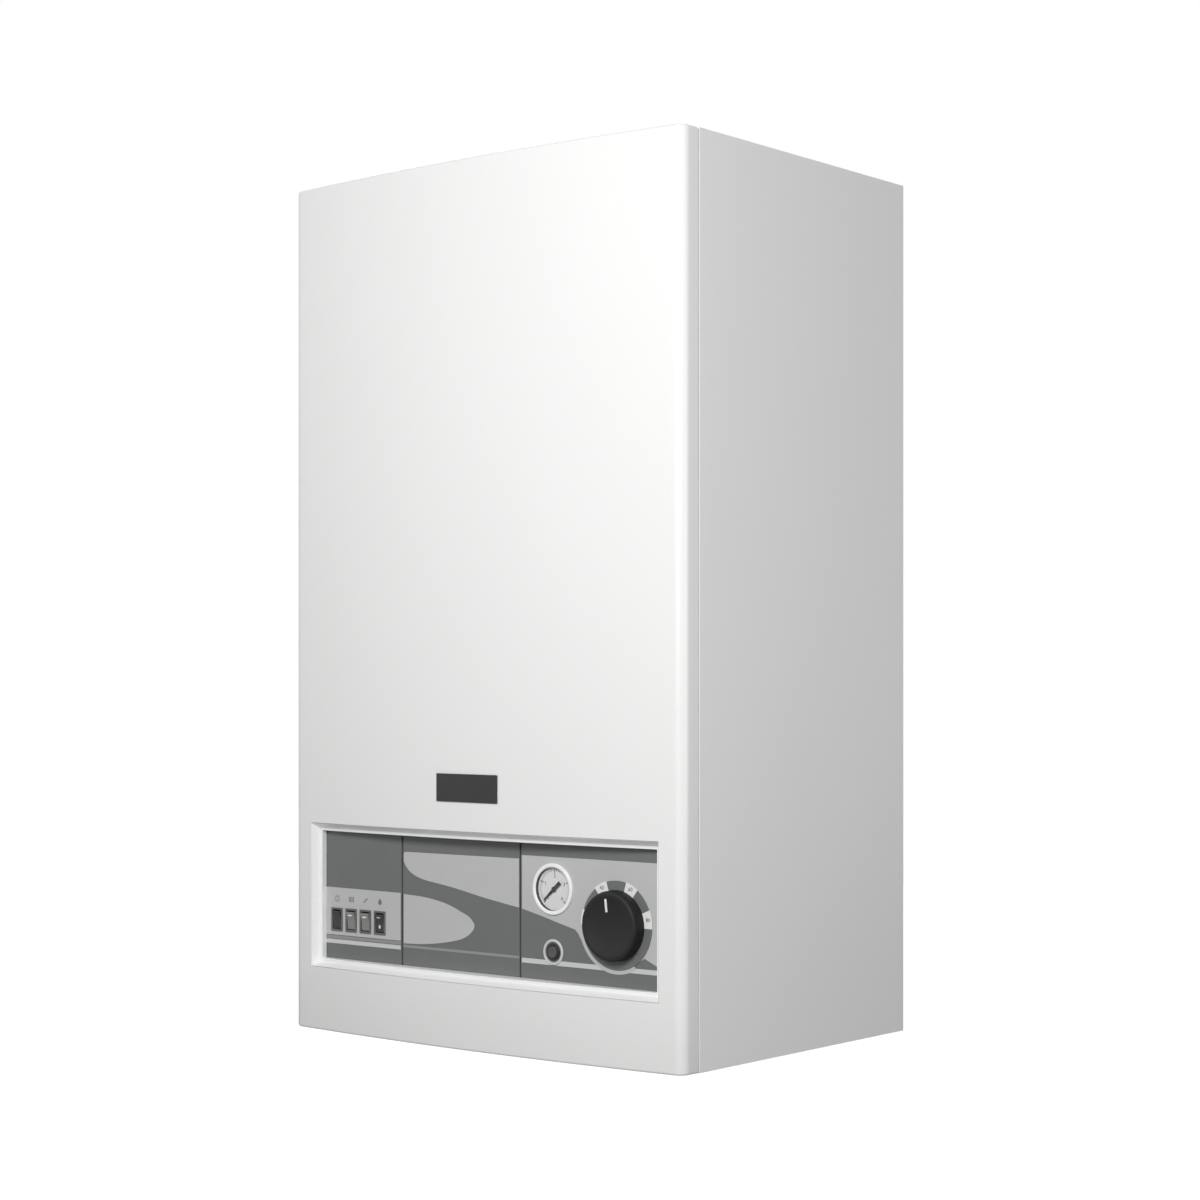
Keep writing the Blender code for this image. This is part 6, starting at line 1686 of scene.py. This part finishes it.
class ElectricsOperator(bpy.types.Operator):
    """Builds the contactor, the terminals and the board with its parts"""

    bl_idname = "boiler.electrics"
    bl_label = "Electrics"

    def execute(self, context):
        inner = context.scene.boiler_inner
        dress(ELECTRIC_PIECES)
        self.board(inner)
        self.board_parts(inner)
        self.terminals(inner)
        self.contactor(inner)
        self.plate()
        return {"FINISHED"}

    def board(self, inner):
        """Cases over the relays and the transformer, and the screws that hold the board."""
        low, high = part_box("control_board")
        face, shell = high.y - inner.board_lift, inner.shell
        for index in range(RELAYS):
            x, z = low.x + inner.board_inset + index * inner.relay_pitch, low.z + inner.board_inset
            case("relay_%d" % (index + 1), (x - shell, face - inner.relay_depth - shell, z - shell),
                 (x + inner.relay_width + shell, face, z + inner.relay_height + shell), "relay blue")
        right, top = high.x - inner.board_inset, high.z - inner.board_inset
        left, base, front = right - inner.core_width, top - inner.core_height, face - inner.core_depth
        case("transformer_core", (left - shell, front - shell, base - shell),
             (right + shell, face, top + shell), "core steel", 0.0003)
        rise = inner.coil_rise
        case("transformer_coil", (left + inner.coil_inset, front - rise, base - rise),
             (right - inner.coil_inset, face - 0.0050, top + rise), "coil yellow", 0.0025)
        post = inner.post_inset
        inner_screws("board_screws", grid((low.x + post, high.x - post), face, (low.z + post, high.z - post)),
                     12)

    def board_parts(self, inner):
        """Plugs, chip, resistors and capacitors on the board's face."""
        low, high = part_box("control_board")
        face = high.y - inner.board_lift
        first, row = low.x + inner.plug_inset, high.z - inner.plug_below
        block_row("board_plugs", "cream plastic", PLUGS, (first, face - PLUG_REACH, row), PLUG_SIZE,
                  inner.plug_pitch)
        start, front = first - PLUG_SCREW_SHIFT, face - PLUG_SCREW_REACH
        screws("plug_screws", [(start + step * inner.plug_pitch / 2, front, row)
                               for step in range(2 * PLUGS - 1)], *PLUG_SCREW, 13)
        corner = low.x, face, low.z
        self.board_row("chip_pins", "screw steel", corner, *CHIP_PINS)
        case("board_chip", *corners_from(corner, BOARD_CHIP), "black plastic", 0.0003)
        self.board_row("board_resistors", "coil yellow", corner, *RESISTORS)
        radius, top = inner.can_radius, face - inner.can_height
        profile = [(0, face), (radius, face), (radius, top + 0.0008), (radius - 0.0008, top),
                   (radius - 0.0014, top + 0.0004), (0, top + 0.0004)]
        for number, (across, up) in enumerate(CAPACITORS, 1):
            turned("board_capacitor_%d" % number, profile, (low.x + across, low.z + up), 40, "relay blue")

    def board_row(self, name, material, corner, count, first, size, pitch):
        """A row of blocks whose first one is measured from the board's corner."""
        block_row(name, material, count, corners_from(corner, (first,))[0], size, pitch)

    def terminals(self, inner):
        """Screws, clamps and dividing walls of the terminal block."""
        low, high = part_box("terminal_block")
        pitch = (high.x - low.x - 2 * inner.terminal_inset) / (TERMINALS - 1)
        first, height = low.x + inner.terminal_inset, high.z - low.z
        upper = low.z + height * 2 / 3
        inner_screws("terminal_screws", grid([first + step * pitch for step in range(TERMINALS)], low.y,
                                             (upper,)), 11)
        block_row("terminal_barriers", "cream plastic", TERMINALS + 1,
                  (first - pitch / 2, low.y - BARRIER_RISE, upper),
                  (inner.barrier, BARRIER_DEPTH, height * 0.62), pitch)
        block_row("terminal_clamps", "screw steel", TERMINALS,
                  (first, low.y + CLAMP_DEPTH, low.z + height / 6), CLAMP_SIZE, pitch)

    def contactor(self, inner):
        """Terminal wells and screws of the contactor, and the frame round its armature."""
        low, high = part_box("contactor")
        pitch, front = (high.x - low.x) / POLES, low.y - WELL_FRONT
        first = low.x + pitch / 2
        places = []
        for name, height in (("contactor_wells_high", high.z - inner.well_inset),
                             ("contactor_wells_low", low.z + inner.well_inset)):
            block_row(name, "black plastic", POLES, (first, low.y - WELL_RISE, height),
                      (pitch - WELL_GAP, WELL_DEPTH, WELL_HEIGHT), pitch)
            places += grid([first + step * pitch for step in range(POLES)], front, (height,))
        inner_screws("contactor_screws", places, 17)
        start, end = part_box("contactor_armature")
        near, far = ARMATURE_FRAME
        back, loops = low.y + ARMATURE_BACK, []
        for x, sideways, z, upward in ((start.x, -1, start.z, -1), (end.x, 1, start.z, -1),
                                       (end.x, 1, end.z, 1), (start.x, -1, end.z, 1)):
            loops.append([Vector((x + sideways * reach, y, z + upward * reach))
                          for reach, y in ((near, back), (far, back), (far, front), (near, front))])
        settle(loft("armature_frame", loops, "cream plastic", closed=True), "casing")

    def plate(self):
        """Screws that hold the electrical plate, and its earth stud."""
        low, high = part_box("electrics_plate")
        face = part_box("contactor")[1].y + FIT
        left, right, edge = PLATE_INSETS
        inner_screws("plate_screws",
                     grid((low.x + left, high.x - right), face, (low.z + edge, high.z - edge)), 19)
        place = high.x - EARTH_PLACE[0], low.z + EARTH_PLACE[1]
        for name, outline, steps in (("earth_stud", EARTH_STUD, 32), ("earth_nut", EARTH_NUT, HEXAGON)):
            turned(name, [(radius, face - rise) for radius, rise in outline], place, steps, "brass")


class StageOperator(bpy.types.Operator):
    """Sets the camera, the lamps, the floor and the white background"""

    bl_idname = "boiler.stage"
    bl_label = "Stage"

    def execute(self, context):
        scene, stage = context.scene, context.scene.boiler_stage
        camera = bpy.data.cameras.new("camera")
        camera.lens = stage.focal
        camera.sensor_width = 36.0
        camera.shift_x = stage.side_shift
        camera.shift_y = stage.shift
        camera.clip_end = 60.0
        viewer = new_object("camera", camera)
        viewer.location = stage.camera_place
        viewer.rotation_euler = (math.pi / 2, 0.0, stage.camera_turn)
        scene.camera = viewer
        self.add_lamp("key", stage.key_place, stage.key, stage.key_size)
        self.add_lamp("fill", stage.fill_place, stage.fill, stage.fill_size)
        self.add_floor(stage)
        self.add_world(scene, stage)
        scene.view_settings.view_transform = "Standard"
        return {"FINISHED"}

    def add_lamp(self, name, place, power, size):
        """A soft square lamp that looks at the middle of the casing."""
        lamp = bpy.data.lights.new(name, "AREA")
        lamp.energy = power
        lamp.size = size
        holder = new_object(name, lamp)
        holder.location = place
        target = Vector((0, COVER_REAR, (FOOT + TOP) / 2))
        holder.rotation_euler = (target - Vector(place)).to_track_quat("-Z", "Y").to_euler()

    def add_floor(self, stage):
        """A pale floor that stays white to the camera but keeps the shadow."""
        material = bpy.data.materials.new("floor")
        material.use_nodes = True
        tree = material.node_tree
        shader = tree.nodes["Principled BSDF"].inputs
        speckle = add_node(tree, "ShaderNodeTexNoise", {"Vector": own_place(tree), "Scale": 4.0})
        tint = add_node(tree, "ShaderNodeMix", {
            "Factor": speckle.outputs["Fac"], 6: (0.80, 0.80, 0.80, 1.0), 7: (0.84, 0.84, 0.84, 1.0)},
            data_type="RGBA")
        rays = add_node(tree, "ShaderNodeLightPath").outputs
        feed(tree, shader["Base Color"], tint.outputs[2])
        feed(tree, shader["Roughness"], 0.9)
        feed(tree, shader["Emission Color"], WHITE)
        feed(tree, shader["Emission Strength"], times(tree, rays["Is Camera Ray"], stage.floor_glow))
        reach, z = stage.floor_reach, FOOT - stage.floor_drop
        corners = [(x, y, z) for x, y in rectangle(-reach, reach, -reach, reach)]
        mesh = new_mesh("floor", corners, [(0, 1, 2, 3)])
        mesh.materials.append(material)
        new_object("floor", mesh)

    def add_world(self, scene, stage):
        """Even light for the surfaces, and plain white where the camera, metal and glass look."""
        world = bpy.data.worlds.new("studio")
        world.use_nodes = True
        tree = world.node_tree
        even = tree.nodes["Background"]
        feed(tree, even.inputs["Color"], WHITE)
        feed(tree, even.inputs["Strength"], stage.sky)
        white = add_node(tree, "ShaderNodeBackground", {"Color": WHITE})
        rays = add_node(tree, "ShaderNodeLightPath").outputs
        mirrored = maths(tree, "MAXIMUM", rays["Is Glossy Ray"], rays["Is Transmission Ray"])
        mix = add_node(tree, "ShaderNodeMixShader", {
            "Fac": maths(tree, "MAXIMUM", rays["Is Camera Ray"], mirrored), 1: even.outputs[0],
            2: white.outputs[0]})
        feed(tree, tree.nodes["World Output"].inputs["Surface"], mix.outputs[0])
        scene.world = world


SETTINGS = (
    ("boiler_casing", CasingSizes), ("boiler_bezel", BezelSizes), ("boiler_panel", PanelSizes),
    ("boiler_dials", DialSizes), ("boiler_inner", InnerSizes), ("boiler_colours", Colours),
    ("boiler_stage", StageSettings),
)
OPERATORS = (
    FinishesOperator, CoverOperator, BezelOperator, BadgeOperator, CasingOperator, InnerOperator,
    ModulesOperator, SwitchesOperator, GaugeOperator, ThermostatOperator, ResetOperator, WaterOperator,
    ElectricsOperator, StageOperator,
)


class BoilerPanel(bpy.types.Panel):
    """Lists the boiler's sizes and the operators that build it"""

    bl_idname = "VIEW3D_PT_boiler"
    bl_label = "Electric Boiler"
    bl_space_type = "VIEW_3D"
    bl_region_type = "UI"
    bl_category = "Boiler"

    def draw(self, context):
        for name, group in SETTINGS:
            box = self.layout.box()
            box.label(text=group.__doc__)
            settings = getattr(context.scene, name)
            for key in group.__annotations__:
                box.prop(settings, key)
        for operator in OPERATORS:
            self.layout.operator(operator.bl_idname)


def register():
    """Adds the add-on's classes and its settings."""
    for name, group in SETTINGS:
        bpy.utils.register_class(group)
        setattr(bpy.types.Scene, name, bpy.props.PointerProperty(type=group))
    for operator in OPERATORS:
        bpy.utils.register_class(operator)
    bpy.utils.register_class(BoilerPanel)


def unregister():
    """Takes the add-on's classes and settings away."""
    bpy.utils.unregister_class(BoilerPanel)
    for operator in reversed(OPERATORS):
        bpy.utils.unregister_class(operator)
    for name, group in reversed(SETTINGS):
        delattr(bpy.types.Scene, name)
        bpy.utils.unregister_class(group)


def main():
    """Builds every piece and sets the stage."""
    register()
    for operator in OPERATORS:
        group, name = operator.bl_idname.split(".")
        if getattr(getattr(bpy.ops, group), name)() != {"FINISHED"}:
            raise RuntimeError(operator.bl_label + " did not finish")


if __name__ == "__main__":
    main()
